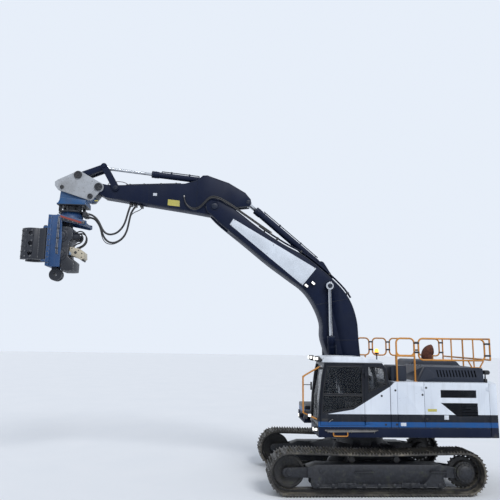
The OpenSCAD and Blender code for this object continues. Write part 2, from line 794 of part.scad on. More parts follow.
module guard_rails() {
    color([0.85, 0.50, 0.12]) {
        rail_side(LEFT_RAILS, LEFT_Y);
        rail_side(RIGHT_RAILS, RIGHT_Y);
        // Gate with its wide bar
        for (x = [LEFT_RAILS[0][0], LEFT_RAILS[0][1]])
            post(x, LEFT_Y, 3300, panel_top);
        block([-1055, LEFT_Y - 35, 3052], [-582, LEFT_Y + 35, 3102]);
        // Struts from the long panel to the top of the hood's fixed side
        for (run = [[-2352, -2440], [bay_back - 40, bay_back + 60], [-2494, -2500]])
            slab(LEFT_Y, 34)
                strut_bar([run[0], 2984], [run[1], hood_top - 4], 17);
        block([bay_back + 30, LEFT_Y - 40, hood_top - 14], [-2400, LEFT_Y + 40, hood_top + 2]);
        for (x = [-600, -1500, bay_back + 100])
            post(x, RIGHT_Y, 3010, panel_top);
        post(-364, RIGHT_Y, 3200, 2380);
        // Rear rail that joins the two sides
        for (z = [3000, 3498])
            rail_bar([rear_x, RIGHT_Y, z], [rear_x, LEFT_Y, z]);
        post(rear_x, -150, 3498, panel_top - 20);
        post(rear_x, RIGHT_Y, 3498, panel_top - 20);
        rail_bar([rear_x, LEFT_Y, 3000], [rear_x, LEFT_Y, 3498]);
        for (z = [3100, 3380]) {
            block([rear_x - 10, LEFT_Y - 26, z - 22], [LEFT_RAILS[1][0] + 15, LEFT_Y + 26, z + 22]);
            block([rear_x - 10, RIGHT_Y - 26, z - 22], [RIGHT_RAILS[3][0] + 15, RIGHT_Y + 26, z + 22]);
        }
        // Step loops under the cab
        for (x = [690, 997])
            block([x - 14, house_y - 74, deck_z - 84], [x + 14, house_y - 46, deck_z - seat]);
        block([690, house_y - 74, deck_z - 84], [997, house_y - 46, deck_z - 56]);
    }
}

// Lamps at the front of the roof and low beside the cab
module work_lamps() {
    color([0.1, 0.1, 0.1])
        for (y = [cab_in + 130, cab_out - 130])
            slab(y, 150)
                polygon([[1249, 2912], [1330, 2912], [1410, 2940], [1410, 3040], [1300, 3040], [1235 + 2 * seat, 2970]]);
    color([0.1, 0.1, 0.1]) {
        block([1330 + seat, cab_out - 250, 1350], [1430, cab_out - 120, 1450]);
        block([1330 + seat, -900, 1350], [1430, -770, 1450]);
    }
}

// Amber beacon on its pole behind the cab
module beacon() {
    at = [-872, -1180];
    color([0.1, 0.1, 0.1])
        translate([at.x, at.y, panel_top + seat]) cylinder(h = 560, r = 16);
    color([1.0, 0.5, 0.05]) {
        translate([at.x, at.y, panel_top + 560]) cylinder(h = 130, r1 = 62, r2 = 52);
        translate([at.x, at.y, panel_top + 690]) cylinder(h = 18, r = 52);
    }
}

// Door of the cab, flush with its side, and its two panes
module door_glass_shape() {
    polygon(concat(DOOR_GLASS_LOW, DOOR_GLASS_TOP));
}
module cab_door() {
    color([0.06, 0.07, 0.09])
        difference() {
            union() {
                slab(cab_out - cab_t / 2, cab_t)
                    offset(delta = -door_gap) polygon(DOOR);
                // Hinges and the handle
                for (z = HINGE_Z) {
                    translate([250, cab_out + 22, z]) cylinder(h = 120, r = 16);
                    block([255, cab_out + 12, z + 10], [340, cab_out + 26, z + 110]);
                    block([285, cab_out - 5, z + 10], [340, cab_out + 20, z + 110]);
                }
                block([1100, cab_out, 2120], [1230, cab_out + 28, 2160]);
            }
            slab(cab_out - cab_t / 2, cab_t + 60)
                intersection() {
                    door_glass_shape();
                    polygon([[200, 1700], [1400, 1700], [1400, 2165], [200, 2165]]);
                }
            slab(cab_out - cab_t / 2, cab_t + 60)
                intersection() {
                    door_glass_shape();
                    polygon([[200, 2205], [1400, 2205], [1400, 2900], [200, 2900]]);
                }
        }
}
module cab_door_glass() {
    color([0.25, 0.32, 0.38, 0.5])
        for (z = [[1700, 2165 - seat], [2205 + seat, 2900]])
            slab(cab_out - cab_t / 2, glass_t)
                intersection() {
                    offset(delta = -seat) door_glass_shape();
                    polygon([[200, z[0]], [1400, z[0]], [1400, z[1]], [200, z[1]]]);
                }
}

// Service door on the left: a flat panel with a folded edge and two hinges
module service_door(x0, x1) {
    for (z = [1600, 2300]) {
        translate([x0 + 14, house_y + 14, z]) cylinder(h = 100, r = 12);
        block([x0 + 16, house_y - 2, z + 10], [x0 + 66, house_y + 12, z + 90]);
    }
    difference() {
        block([x0, house_y - panel_t, deck_top + door_gap], [x1, house_y, panel_top - seat]);
        block([x0 + 40, house_y - panel_t - 1, deck_top + 60], [x1 - 40, house_y - 8, panel_top - 50]);
    }
}
module door_front() {
    color([0.86, 0.88, 0.90]) service_door(door_b + door_gap / 2, door_a);
}
module slats(x0, x1, z0, z1, n) {
    for (i = [0:n - 1])
        block([x0 - 4, house_y - 20, z0 + (i + 0.2) * (z1 - z0) / n],
            [x1 + 4, house_y - 6, z0 + (i + 0.62) * (z1 - z0) / n]);
}
vent_back = bay_back + 317;
vent_front = door_b - 389;
module low_vent(out) {
    offset(delta = out)
        polygon([[vent_back - 22, 1715], [vent_back + 463, 1715], [vent_front + 3, 2019], [vent_back - 22, 2019]]);
}
module door_rear() {
    color([0.86, 0.88, 0.90])
        difference() {
            service_door(bay_back + door_gap, door_b - door_gap / 2);
            block([vent_back, house_y - 60, 2138], [vent_front, house_y + 10, 2312]);
            slab(house_y, 120) low_vent(0);
        }
    color([0.05, 0.05, 0.06]) {
        slats(vent_back, vent_front, 2138, 2312, 6);
        intersection() {
            slats(vent_back - 22, vent_front + 3, 1715, 2019, 9);
            slab(house_y, 120) low_vent(8);
        }
    }
}
module door_right() {
    color([0.86, 0.88, 0.90])
        mirror([0, 1, 0]) service_door(open_back + door_gap, open_front - door_gap);
}

// Engine hood: the lid of the raised cover, hinged at its back
hood_pin = [hood_back - 20, panel_top + 16];
hood_hinge_r = 14;
hood_hinge_y = [hood_in + 200, hood_lid - 200];
module hood() {
    mid = (hood_in + hood_lid) / 2;
    color([0.16, 0.17, 0.19]) {
        for (y = hood_hinge_y)
            difference() {
                union() {
                    bar_y(hood_pin, hood_hinge_r, y, 140);
                    block([hood_pin.x, y - 70, hood_pin.y + 4], [hood_back + 4, y + 70, hood_pin.y + hood_hinge_r]);
                }
                bar_y(hood_pin, 6 + pin_gap, y, 150);
            }
        difference() {
            slab(mid, hood_lid - hood_in) hood_shape(panel_top + door_gap);
            slab(mid, hood_lid - hood_in - 2 * hood_wall) hood_room();
        }
    }
}

boom_top = [for (r = BOOM) [r[0], r[1]]];
boom_low = [for (r = BOOM) [r[2], r[3]]];
function boom_row(i, side, wall) =
    side == 0 ? toward(boom_top[i], boom_low[i], wall) : toward(boom_low[i], boom_top[i], wall);
// The point that lies d outside the boom's back, square to it at the row i
function row_out(i, d) =
    let (run = boom_top[i + 1] - boom_top[i - 1])
    boom_top[i] + d * [-run.y, run.x] / norm(run);
module boom_shape() {
    polygon(concat(curve(boom_top, 4), back(curve(boom_low, 4))));
    translate(boom_foot) circle(165);
    translate(boom_tip) circle(235);
}
// Boom: a bent box of plates, forked at its tip, with bosses for its pins
fork_w = stick_w + 2 * pass;
tip_r = 720;
module boom() {
    rows = [1:8];
    color([0.05, 0.07, 0.13])
        difference() {
            union() {
                slab(0, boom_w) boom_shape();
                // Lugs of the stick cylinder on the boom's back
                slab_pair(94, 40)
                    union() {
                        link(arm_cyl_base, arm_cyl_base + [130, -330], 105, 160);
                        link(arm_cyl_base, arm_cyl_base + [-190, -330], 105, 120);
                    }
                bar_y(arm_cyl_base, 45, 0, 240);
                for (s = [-1, 1])
                    bar_y(boom_cyl_eye, 110, s * (boom_w / 2), 8);
            }
            slab(0, boom_w - 2 * boom_t)
                polygon(concat(
                    curve([for (i = rows) boom_row(i, 0, boom_t + 4)], 4),
                    back(curve([for (i = rows) boom_row(i, 1, boom_t + 4)], 4))
                ));
            slab(0, fork_w) translate(boom_tip) circle(tip_r);
            bar_y(boom_foot, 62 + pin_gap, 0, 900);
        }
    color([0.05, 0.07, 0.13])
        bar_y(boom_tip, 60, 0, boom_w + 40);
}

// Blank white signs on both sides of the boom
module boom_signs() {
    color([0.85, 0.88, 0.92])
        slab_pair(boom_w / 2 + 2.5 + seat, 5)
            polygon([[3342, 6540], [3435, 6386], [1497, 4817], [1138, 5264]]);
}

// Steel pipes along the boom's back with their clamps
PIPE_Y = [-200, -140, 140, 200];
PIPE_ROWS = [4, 5, 6, 7, 8];
pipe_r = 17;
pipe_up = 62;
module boom_pipes() {
    color([0.06, 0.07, 0.10]) {
        for (y = PIPE_Y)
            slab(y, 2 * pipe_r)
                polygon(concat(
                    curve([for (i = PIPE_ROWS) boom_row(i, 0, pipe_r - pipe_up)], 4),
                    back(curve([for (i = PIPE_ROWS) boom_row(i, 0, -pipe_r - pipe_up)], 4))
                ));
        for (i = PIPE_ROWS, s = [-1, 1]) {
            slab(s * 170, 110)
                link(row_out(i, 22 + seat), row_out(i, 84), 22, 10);
        }
    }
}

// Two bright lamps on brackets at the lower end of the sign
module boom_lamps() {
    color([0.8, 0.85, 0.9])
        for (s = [-1, 1], k = [0, 1]) {
            at = [1230 + 180 * k, 4870 - 70 * k];
            slab(s * (boom_w / 2 + 45), 80)
                translate(at) rotate(40) square([110, 70], center = true);
            bar_y(at, 14, s * (boom_w / 2 + seat + 4), 8);
        }
}

// A cylinder's tube in its own frame along X, from its base eye at the origin to the gland
module barrel(eye_r, eye_w, pin_r, tube_r, bore_r, rod_r, length) {
    difference() {
        union() {
            rotate([90, 0, 0]) cylinder(h = eye_w, r = eye_r, center = true);
            block([0, -eye_w / 2, -0.7 * eye_r], [eye_r + 30, eye_w / 2, 0.7 * eye_r]);
            translate([eye_r + 25, 0, 0]) rotate([0, 90, 0]) cylinder(h = length - eye_r - 25, r = tube_r);
            translate([length - 190, 0, 0]) rotate([0, 90, 0]) cylinder(h = 190, r = tube_r + 12);
        }
        rotate([90, 0, 0]) cylinder(h = eye_w + 2, r = pin_r + pin_gap, center = true);
        translate([eye_r + 40, 0, 0]) rotate([0, 90, 0]) cylinder(h = length - eye_r - 160, r = bore_r);
        translate([eye_r + 41, 0, 0]) rotate([0, 90, 0]) cylinder(h = length, r = rod_r + seat);
    }
}

// Its rod in the same frame, with the eye at the distance reach and the piston inside the tube
module rod(eye_r, eye_w, bore_r, rod_r, reach, length) {
    translate([reach, 0, 0]) rotate([90, 0, 0]) cylinder(h = eye_w, r = eye_r, center = true);
    translate([reach - length, 0, 0]) rotate([0, 90, 0]) cylinder(h = length - eye_r * 0.5, r = rod_r);
    translate([reach - length, 0, 0]) rotate([0, 90, 0]) cylinder(h = 90, r = bore_r - seat);
}

// Puts a cylinder's frame between two side view points at the distance y from the middle
module between(p, q, y) {
    translate([p.x, y, p.y])
        rotate([0, -atan2(q.y - p.y, q.x - p.x), 0])
            children();
}

boom_reach = norm(boom_cyl_eye - boom_cyl_base);
arm_reach = norm(arm_cyl_eye - arm_cyl_base);
tool_reach = norm(link_top - tool_cyl_base);
wall_t = 16;
boom_barrel_l = 2020;
boom_rod_l = 2060;
arm_barrel_l = 2300;
arm_rod_l = 2330;
tool_barrel_l = 1525;
tool_rod_l = 1690;
eye_w = 110;

module boom_barrels() {
    color([0.05, 0.06, 0.09])
        for (s = [-1, 1])
            between(boom_cyl_base, boom_cyl_eye, s * boom_cyl_y)
                barrel(95, eye_w, 48, boom_tube_r, boom_tube_r - wall_t, boom_rod_r, boom_barrel_l);
}
module boom_rods() {
    stub_in = boom_w / 2 + 4 + pass;
    stub_out = boom_cyl_y + eye_w / 2 + 20;
    color([0.75, 0.77, 0.8])
        for (s = [-1, 1])
            between(boom_cyl_base, boom_cyl_eye, s * boom_cyl_y) {
                rod(100, eye_w, boom_tube_r - wall_t, boom_rod_r, boom_reach, boom_rod_l);
                translate([boom_reach, s * ((stub_in + stub_out) / 2 - boom_cyl_y), 0])
                    rotate([90, 0, 0]) cylinder(h = stub_out - stub_in, r = 52, center = true);
            }
}
module arm_barrel() {
    color([0.05, 0.06, 0.09])
        between(arm_cyl_base, arm_cyl_eye, 0)
            barrel(100, 140, 45, arm_tube_r, arm_tube_r - wall_t, arm_rod_r, arm_barrel_l);
}
module arm_rod() {
    color([0.75, 0.77, 0.8])
        between(arm_cyl_base, arm_cyl_eye, 0)
            rod(100, eye_w, arm_tube_r - wall_t, arm_rod_r, arm_reach, arm_rod_l);
}
module tool_barrel() {
    color([0.05, 0.06, 0.09])
        between(tool_cyl_base, link_top, 0)
            barrel(88, tool_slot_w - 4, 42, tool_tube_r, tool_tube_r - wall_t, tool_rod_r, tool_barrel_l);
}
module tool_rod() {
    color([0.75, 0.77, 0.8])
        between(tool_cyl_base, link_top, 0)
            rod(88, eye_w, tool_tube_r - wall_t, tool_rod_r, tool_reach, tool_rod_l);
}

// Stick: a tapering box of plates with a tall heel, split for the two cylinder eyes
module stick_shape() {
    polygon(concat(
        [for (r = STICK) [r[0], r[1]]],
        [for (i = [len(STICK) - 1:-1:0]) [STICK[i][0], STICK[i][2]]],
        [[3990, 6650], [3700, 6690]], back(STICK_HEEL)
    ));
    translate(stick_tip) circle(135);
    polygon([[6740, 7390], [6950, 7430], [6985, 7182], [6740, 7044]]);
    translate(boom_tip) circle(225);
}
slot_w = 140;
tool_slot_w = 2 * (tool_tube_r + pass);
module stick() {
    color([0.05, 0.07, 0.13]) {
        difference() {
            union() {
                slab(0, stick_w) stick_shape();
                // Unions where the tool hoses leave the stick
                for (p = HOSE_STARTS)
                    translate([p.x, p.y, p.z + seat]) cylinder(h = 90, r = 34);
            }
            // Hollow of the long box
            slab(0, stick_w - 2 * stick_t)
                polygon(concat(
                    [for (r = STICK) [min(r[0], 6640), r[1] - stick_t]],
                    [for (i = [len(STICK) - 1:-1:0]) [min(STICK[i][0], 6640), STICK[i][2] + stick_t + 6]]
                ));
            // Hollow of the heel
            slab(0, stick_w - 2 * stick_t)
                polygon([[4310, 7480], [3990, 7450], [3560, 7480], [3480, 7200], [3560, 7120], [4310, 7140]]);
            // Slot of the stick cylinder's rod eye
            slab(0, slot_w)
                polygon([[3400, 7600], [3400, 6800], [2800, 6800], [2800, 7400]]);
            // Slot of the tool cylinder's base eye
            slab(0, tool_slot_w)
                polygon([[3900, 7800], [3900, 7500], [4700, 7500], [4700, 7800]]);
            bar_y(boom_tip, 60 + pin_gap, 0, 600);
            bar_y(stick_tip, 55 + pin_gap, 0, 600);
            bar_y(guide_pin, 42 + pin_gap, 0, 600);
        }
        bar_y(tool_cyl_base, 42, 0, tool_slot_w + 60);
    }
}

// Two side links that steer the tool cylinder's eye over the stick
guide_y = stick_w / 2 + pass + 20;
module guide_links() {
    color([0.05, 0.07, 0.13]) {
        slab_pair(guide_y, 40)
            link(guide_pin, link_top, 85, 80);
        bar_y(guide_pin, 42, 0, 2 * guide_y + 60);
        for (s = [-1, 1])
            bar_y(link_top, 48, s * (guide_y + 10), 70);
    }
}

// Link from the tool cylinder's eye to the coupler, forked at the eye
module h_link() {
    fork_y = 116;
    fork_t = 76;
    near = link_top + (coupler_pin - link_top) * 0.45;
    color([0.05, 0.07, 0.13])
        difference() {
            union() {
                slab_pair(fork_y, fork_t)
                    link(link_top, coupler_pin, 80, 84);
                slab(0, 2 * fork_y)
                    link(near, coupler_pin, 60, 84);
            }
            bar_y(coupler_pin, 45 + pin_gap, 0, 600);
        }
}

// Coupler: two shaped plates that hold the stick's pin, the link's pin and the pins of the yoke
ear_y = stick_w / 2 + pass + 24;
yoke_front = [7860, 7270];
yoke_rear = [7120, 7040];
module coupler() {
    color([0.55, 0.57, 0.58])
        difference() {
            union() {
                slab_pair(ear_y, 46)
                    union() {
                        polygon([[6870, 7420], [7390, 7710], [7560, 7690], [7990, 7470], [8060, 7410],
                            [8050, 7310], [7960, 7190], [7150, 6930], [7050, 6950], [6880, 7190]]);
                        translate(stick_tip) circle(130);
                        translate(coupler_pin) circle(112);
                        translate(yoke_rear) circle(105);
                    }
                // Cross plates between the ears
                slab(0, 2 * ear_y)
                    polygon([[7640, 7540], [7970, 7390], [7960, 7365], [7700, 7370], [7560, 7440]]);
                slab(0, 2 * ear_y)
                    polygon([[7250, 7160], [7600, 7290], [7590, 7330], [7230, 7200]]);
            }
            bar_y(yoke_front, 46 + pin_gap, 0, 600);
            bar_y(yoke_rear, 46 + pin_gap, 0, 600);
        }
    color([0.35, 0.35, 0.36]) {
        bar_y(stick_tip, 55, 0, 2 * ear_y + 90);
        bar_y(coupler_pin, 45, 0, 2 * ear_y + 80);
    }
}

// Yoke: a welded blue bracket under the coupler, with the rotator's drum, posts and manifold
turn_x = 7610;
ring_low = 6596;
module yoke() {
    color([0.02, 0.17, 0.45]) {
        difference() {
            union() {
                slab(0, 2 * ear_y - 60)
                    union() {
                        polygon([[7820, 7215], [7208, 7005], [7208, 6800], [7930, 6806], [7900, 7215]]);
                        translate(yoke_front) circle(75);
                        translate(yoke_rear) circle(72);
                        polygon([yoke_rear + [0, 70], yoke_rear + [150, 60], [7300, 6900], yoke_rear + [0, -70]]);
                    }
                slab_pair(ear_y + 60, 60)
                    polygon([[7850, 6980], [7215, 6920], [7208, 6830], [7930, 6806]]);
                slab(0, 2 * ear_y + 180)
                    polygon([[7208, 6830], [7208, 6780], [7942, 6780], [7942, 6830]]);
            }
            slab(0, 2 * ear_y - 120)
                polygon([[7800, 7170], [7260, 6980], [7260, 6850], [7880, 6850], [7860, 7170]]);
        }
        bar_y(yoke_front, 46, 0, 2 * ear_y + 70);
        bar_y(yoke_rear, 46, 0, 2 * ear_y + 70);
    }
    color([0.07, 0.07, 0.08]) {
        translate([turn_x, 0, ring_low]) cylinder(h = 190, r = 150);
        for (sx = [-1, 1], sy = [-1, 1])
            translate([turn_x + sx * 255, sy * 200, ring_low + 30]) cylinder(h = 160, r = 42);
        translate([turn_x, 0, ring_low]) cylinder(h = 40, r = 340);
        // Manifold that takes the hoses at the back
        block([7200 + seat, -150, 6500], [7300, 150, 6640]);
    }
}

// Head frame: turntable, slanting hanger plate, tall guide plates and the jaws' brackets
plate_y = vibro_w / 2 + 32;
jaw_z = 5330;
pile_x = 8510;
hinge = [8175, 262];
module head_frame() {
    color([0.03, 0.14, 0.36]) {
        translate([turn_x, 0, 6380]) cylinder(h = ring_low - seat - 6380, r = 285);
        slab(0, 2 * plate_y - 40)
            polygon([[7904, 6526], [7140, 6305], [7150, 6263], [7904, 6480]]);
        // Tall side plates
        slab_pair(plate_y, 44)
            polygon([[8060, 6488], [8060, 5150], [7740, 5150], [7730, 5900], [7765, 6335],
                [7210, 6235], [7140, 6262], [7145, 6360], [7780, 6500]]);
        // Upright guides at the front and the cross plates between them
        for (s = [-1, 1])
            block([8010, s * plate_y - 60, 5160], [8095, s * plate_y + 60, 6488]);
        block([8010, -plate_y, 5180], [8050, plate_y, 6440]);
        block([7860, -plate_y, 5160], [8095, plate_y, 5200]);
        // Hinge brackets above and below each jaw
        for (s = [-1, 1], z = [jaw_z - 40 - pass, jaw_z + jaw_h + pass])
            translate([0, 0, z])
                linear_extrude(40)
                    link([8080, s * (hinge.y - 10)], [hinge.x, s * hinge.y], 95, 62);
        for (s = [-1, 1])
            translate([hinge.x, s * hinge.y, jaw_z - 60])
                cylinder(h = jaw_h + 120, r = 34);
    }
}

// Vibrator: gear housing, its two motors and the spring blocks that carry it
module vibrator() {
    color([0.06, 0.08, 0.11]) {
        slab(0, vibro_w)
            polygon([[7970, 5215], [7970, 6200], [7560, 6200], [7480, 6120], [7480, 5900], [7560, 5820],
                [7560, 5420], [7400, 5300], [7400, 5060], [7500, 5049], [7720, 5049], [7720, 5215]]);
        for (s = [-1, 1])
            translate([7530, s * 150, 5960]) rotate([0, -90, 0]) cylinder(h = 180, r = 85);
        // Hanger between the vibrator and the slanting plate
        block([7600, -150, 6199], [7860, 150, 6380 - seat]);
    }
}

// Pale valve box behind the vibrator
module valve_box() {
    color([0.72, 0.66, 0.52])
        slab(0, 360)
            polygon([[7480, 5678], [7560 - seat, 5690], [7560 - seat, 5480], [7420, 5440], [7260, 5355], [7175, 5400],
                [7190, 5560], [7300, 5640]]);
}

// Round clamp under the head for gripping from above
clamp_c = [7895, 4968];
module bottom_clamp() {
    color([0.05, 0.05, 0.06])
        difference() {
            union() {
                bar_y(clamp_c, 158, 0, 230);
                block([7850, -115, 4990], [8000, 115, 5160 - seat]);
            }
            block([7700, -35, 4780], [8100, 35, 4900]);
            bar_y(clamp_c, 40, 0, 300);
        }
}

// A jaw seen from above: an arm from its hinge that wraps a third of the gripped tube
module jaw(side) {
    grip = [pile_x, 0];
    pivot = [hinge.x, side * hinge.y];
    wedge = 500;
    difference() {
        union() {
            translate([0, 0, jaw_z])
                linear_extrude(jaw_h)
                    intersection() {
                        translate(grip) circle(pile_r + jaw_t, $fn = 96);
                        polygon([
                            grip + side * [0, 6] + [50, 0], grip + wedge * [cos(34), side * sin(34)],
                            grip + wedge * [cos(80), side * sin(80)],
                            grip + wedge * [cos(125), side * sin(125)],
                            grip + wedge * [cos(150), side * sin(150)]
                        ]);
                    }
            translate([0, 0, jaw_z])
                linear_extrude(jaw_h)
                    link(pivot, grip + (pile_r + jaw_t / 2) * [cos(128), side * sin(128)], 60, jaw_t / 2 - 8);
        }
        translate([grip.x, grip.y, jaw_z - 1]) cylinder(h = jaw_h + 2, r = pile_r, $fn = 96);
        translate([pivot.x, pivot.y, jaw_z - 1]) cylinder(h = jaw_h + 2, r = 34 + pin_gap);
        // Windows that lighten the jaw
        for (z = [jaw_z + 150, jaw_z + 405, jaw_z + 660])
            translate([8510, side * 280, z])
                rotate([90, 0, 0])
                    cylinder(h = 260, r = 62, center = true);
    }
}
module jaw_left() { color([0.05, 0.06, 0.08]) jaw(1); }
module jaw_right() { color([0.05, 0.06, 0.08]) jaw(-1); }

// Hose routes as [x, y, z], from the union under the stick to the manifold on the yoke
HOSE_FRONT = [
    [6080, 60, 6890], [6110, 60, 6790], [6140, 60, 6680], [6165, 60, 6570], [6190, 60, 6465],
    [6230, 60, 6345], [6295, 60, 6230], [6385, 60, 6135], [6490, 60, 6080], [6600, 60, 6067],
    [6700, 60, 6105], [6775, 60, 6185], [6830, 60, 6285], [6885, 60, 6385], [6955, 60, 6480],
    [7040, 60, 6550], [7120, 60, 6585], [7200, 60, 6590]
];
HOSE_REAR = [
    [5965, -60, 6876], [6030, -60, 6790], [6080, -60, 6685], [6105, -60, 6570], [6125, -60, 6450],
    [6145, -60, 6325], [6170, -60, 6205], [6215, -60, 6090], [6280, -60, 5995], [6375, -60, 5915],
    [6490, -60, 5870], [6605, -60, 5880], [6705, -60, 5945], [6775, -60, 6045], [6822, -60, 6155],
    [6862, -60, 6260], [6910, -60, 6360], [6975, -60, 6445], [7050, -60, 6500], [7125, -60, 6525],
    [7200, -60, 6530]
];
HOSE_THIN = [
    [5800, -120, 6855], [5850, -120, 6808], [5915, -120, 6768], [5990, -120, 6732], [6055, -120, 6685],
    [6100, -120, 6610], [6122, -120, 6520], [6135, -120, 6420], [6152, -120, 6310], [6175, -120, 6195],
    [6215, -120, 6085], [6285, -120, 5985], [6380, -120, 5905], [6490, -120, 5850], [6600, -120, 5838],
    [6705, -120, 5870], [6785, -120, 5955], [6835, -120, 6070], [6870, -120, 6190], [6910, -120, 6300],
    [6970, -120, 6400], [7045, -120, 6485], [7120, -120, 6530], [7200, -120, 6540]
];
HOSE_STARTS = [HOSE_FRONT[0], HOSE_REAR[0], HOSE_THIN[0]];
hose_r = 26;
thin_r = 11;
hose_n = 8;

// A round hose swept along its route; all its points share one Y, so a ring turns about Y only
module hose(route, r) {
    last = len(route) - 1;
    rings = [
        for (i = [0:last], k = [0:hose_n - 1])
            let (
                run = route[min(i + 1, last)] - route[max(i - 1, 0)],
                ahead = i == 0 ? [0, 0, -1] : i == last ? [1, 0, 0] : run / norm(run),
                side = [-ahead.z, 0, ahead.x],
                a = k * 360 / hose_n
            )
            route[i] + r * (cos(a) * side + sin(a) * [0, 1, 0])
    ];
    polyhedron(
        points = rings,
        faces = concat(
            [[for (k = [0:hose_n - 1]) hose_n - 1 - k]],
            [for (i = [0:last - 1], k = [0:hose_n - 1]) let (m = (k + 1) % hose_n)
                [i * hose_n + k, i * hose_n + m, (i + 1) * hose_n + m, (i + 1) * hose_n + k]],
            [[for (k = [0:hose_n - 1]) last * hose_n + k]]
        )
    );
}
module hose_front() { color([0.03, 0.03, 0.03]) hose(HOSE_FRONT, hose_r); }
module hose_rear() { color([0.03, 0.03, 0.03]) hose(HOSE_REAR, hose_r); }
module hose_thin() { color([0.03, 0.03, 0.03]) hose(HOSE_THIN, thin_r); }

carbody();
slew_ring();
track_frames();
idlers();
sprockets();
rollers();
track_left();
track_right();
house_frame();
counterweight();
engine_block();
body_panels();
rear_cover();
exhaust();
tank_block();
cab_frame();
cab_roof();
cab_glass();
operator_seat();
cab_guard();
guard_rails();
work_lamps();
beacon();
cab_door();
cab_door_glass();
door_front();
door_rear();
door_right();
hood();
boom();
boom_signs();
boom_pipes();
boom_lamps();
boom_barrels();
boom_rods();
arm_barrel();
arm_rod();
stick();
tool_barrel();
tool_rod();
guide_links();
h_link();
coupler();
yoke();
head_frame();
vibrator();
valve_box();
bottom_clamp();
jaw_left();
jaw_right();
hose_front();
hose_rear();
hose_thin();
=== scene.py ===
import json
import math
import random

import bmesh
import bpy
from mathutils import Matrix, Vector

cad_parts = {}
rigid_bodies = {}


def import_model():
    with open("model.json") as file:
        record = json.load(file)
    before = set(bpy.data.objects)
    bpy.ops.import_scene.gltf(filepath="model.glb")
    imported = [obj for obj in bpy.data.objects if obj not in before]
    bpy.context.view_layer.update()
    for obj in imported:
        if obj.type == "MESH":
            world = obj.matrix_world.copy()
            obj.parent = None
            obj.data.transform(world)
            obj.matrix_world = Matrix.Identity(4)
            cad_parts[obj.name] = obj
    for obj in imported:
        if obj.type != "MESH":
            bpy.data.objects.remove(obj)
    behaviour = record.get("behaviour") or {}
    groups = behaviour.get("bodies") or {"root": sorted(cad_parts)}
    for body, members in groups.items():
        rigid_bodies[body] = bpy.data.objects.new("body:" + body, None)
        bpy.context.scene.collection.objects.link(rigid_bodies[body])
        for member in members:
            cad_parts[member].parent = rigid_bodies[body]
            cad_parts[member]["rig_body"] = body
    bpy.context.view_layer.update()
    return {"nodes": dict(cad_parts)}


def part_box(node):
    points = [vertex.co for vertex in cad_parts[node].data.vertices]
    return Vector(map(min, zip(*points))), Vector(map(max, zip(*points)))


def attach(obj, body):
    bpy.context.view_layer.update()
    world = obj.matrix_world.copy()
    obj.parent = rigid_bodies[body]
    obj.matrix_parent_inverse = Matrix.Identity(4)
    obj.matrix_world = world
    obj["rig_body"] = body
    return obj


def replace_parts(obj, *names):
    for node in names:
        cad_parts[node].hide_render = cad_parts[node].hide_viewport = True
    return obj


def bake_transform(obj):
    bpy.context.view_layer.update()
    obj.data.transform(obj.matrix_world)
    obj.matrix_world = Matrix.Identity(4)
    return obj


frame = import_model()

# ---- Camera, floor and daylight
# The camera stands at the machine's left side, about as high as its cab roof, and is tilted up a
# little. The floor is plain and pale, and the light soft and nearly white.
EYE = Vector((3.6862, 13.4434, 3.4625))
YAW, PITCH, ROLL = 0.0603, 0.1688, 0.0158
FILM_WIDTH, LENS = 36, 36.72
gaze = Vector((-math.sin(YAW) * math.cos(PITCH), -math.cos(YAW) * math.cos(PITCH), math.sin(PITCH)))
level = Vector((-math.cos(YAW), math.sin(YAW), 0))
upward = level.cross(gaze)
across = math.cos(ROLL) * level + math.sin(ROLL) * upward
above = math.cos(ROLL) * upward - math.sin(ROLL) * level
camera = bpy.data.objects.new("camera", bpy.data.cameras.new("camera"))
camera.data.sensor_width = FILM_WIDTH
camera.data.lens = LENS
camera.data.clip_end = 500
camera.matrix_world = Matrix.Translation(EYE) @ Matrix((across, above, -gaze)).transposed().to_4x4()
bpy.context.scene.collection.objects.link(camera)
bpy.context.scene.camera = camera
bpy.context.scene.view_settings.view_transform = "Standard"


def add(tree, kind, settings=None, **sockets):
    """A node of this kind, with each named socket linked or set. An underscore stands for a space."""
    node = tree.nodes.new("ShaderNode" + kind)
    for key, value in (settings or {}).items():
        setattr(node, key, value)
    for key, value in sockets.items():
        socket = node.inputs[key.replace("_", " ")]
        if isinstance(value, bpy.types.NodeSocket):
            tree.links.new(value, socket)
        else:
            socket.default_value = value
    return node


def mixed(tree, factor, one, two, way="MIX"):
    """The colour one mixed with two by the factor."""
    node = tree.nodes.new("ShaderNodeMix")
    node.data_type = "RGBA"
    node.blend_type = way
    for index, value in ((0, factor), (6, one), (7, two)):
        if isinstance(value, bpy.types.NodeSocket):
            tree.links.new(value, node.inputs[index])
        else:
            node.inputs[index].default_value = value if index == 0 else (*value[:3], 1)
    return node.outputs[2]


def maths(tree, way, *values):
    """The sum, product or comparison of the values."""
    node = tree.nodes.new("ShaderNodeMath")
    node.operation = way
    for socket, value in zip(node.inputs, values):
        if isinstance(value, bpy.types.NodeSocket):
            tree.links.new(value, socket)
        else:
            socket.default_value = value
    return node.outputs[0]


def placed(tree, scale=(1, 1, 1), turn=(0, 0, 0)):
    """Object coordinates, stretched and turned."""
    where = add(tree, "TexCoord").outputs["Object"]
    return add(tree, "Mapping", Vector=where, Scale=scale, Rotation=turn).outputs[0]


def speckle(tree, scale, detail=4.0, stretch=(1, 1, 1), low=0.0, high=1.0, rough=0.55):
    """Noise from 0 to 1, cut so that low and high are its ends."""
    cloud = add(tree, "TexNoise", Vector=placed(tree, stretch), Scale=scale, Detail=detail,
                Roughness=rough).outputs[0]
    return add(tree, "MapRange", Value=cloud, **{"From_Min": low, "From_Max": high}).outputs[0]


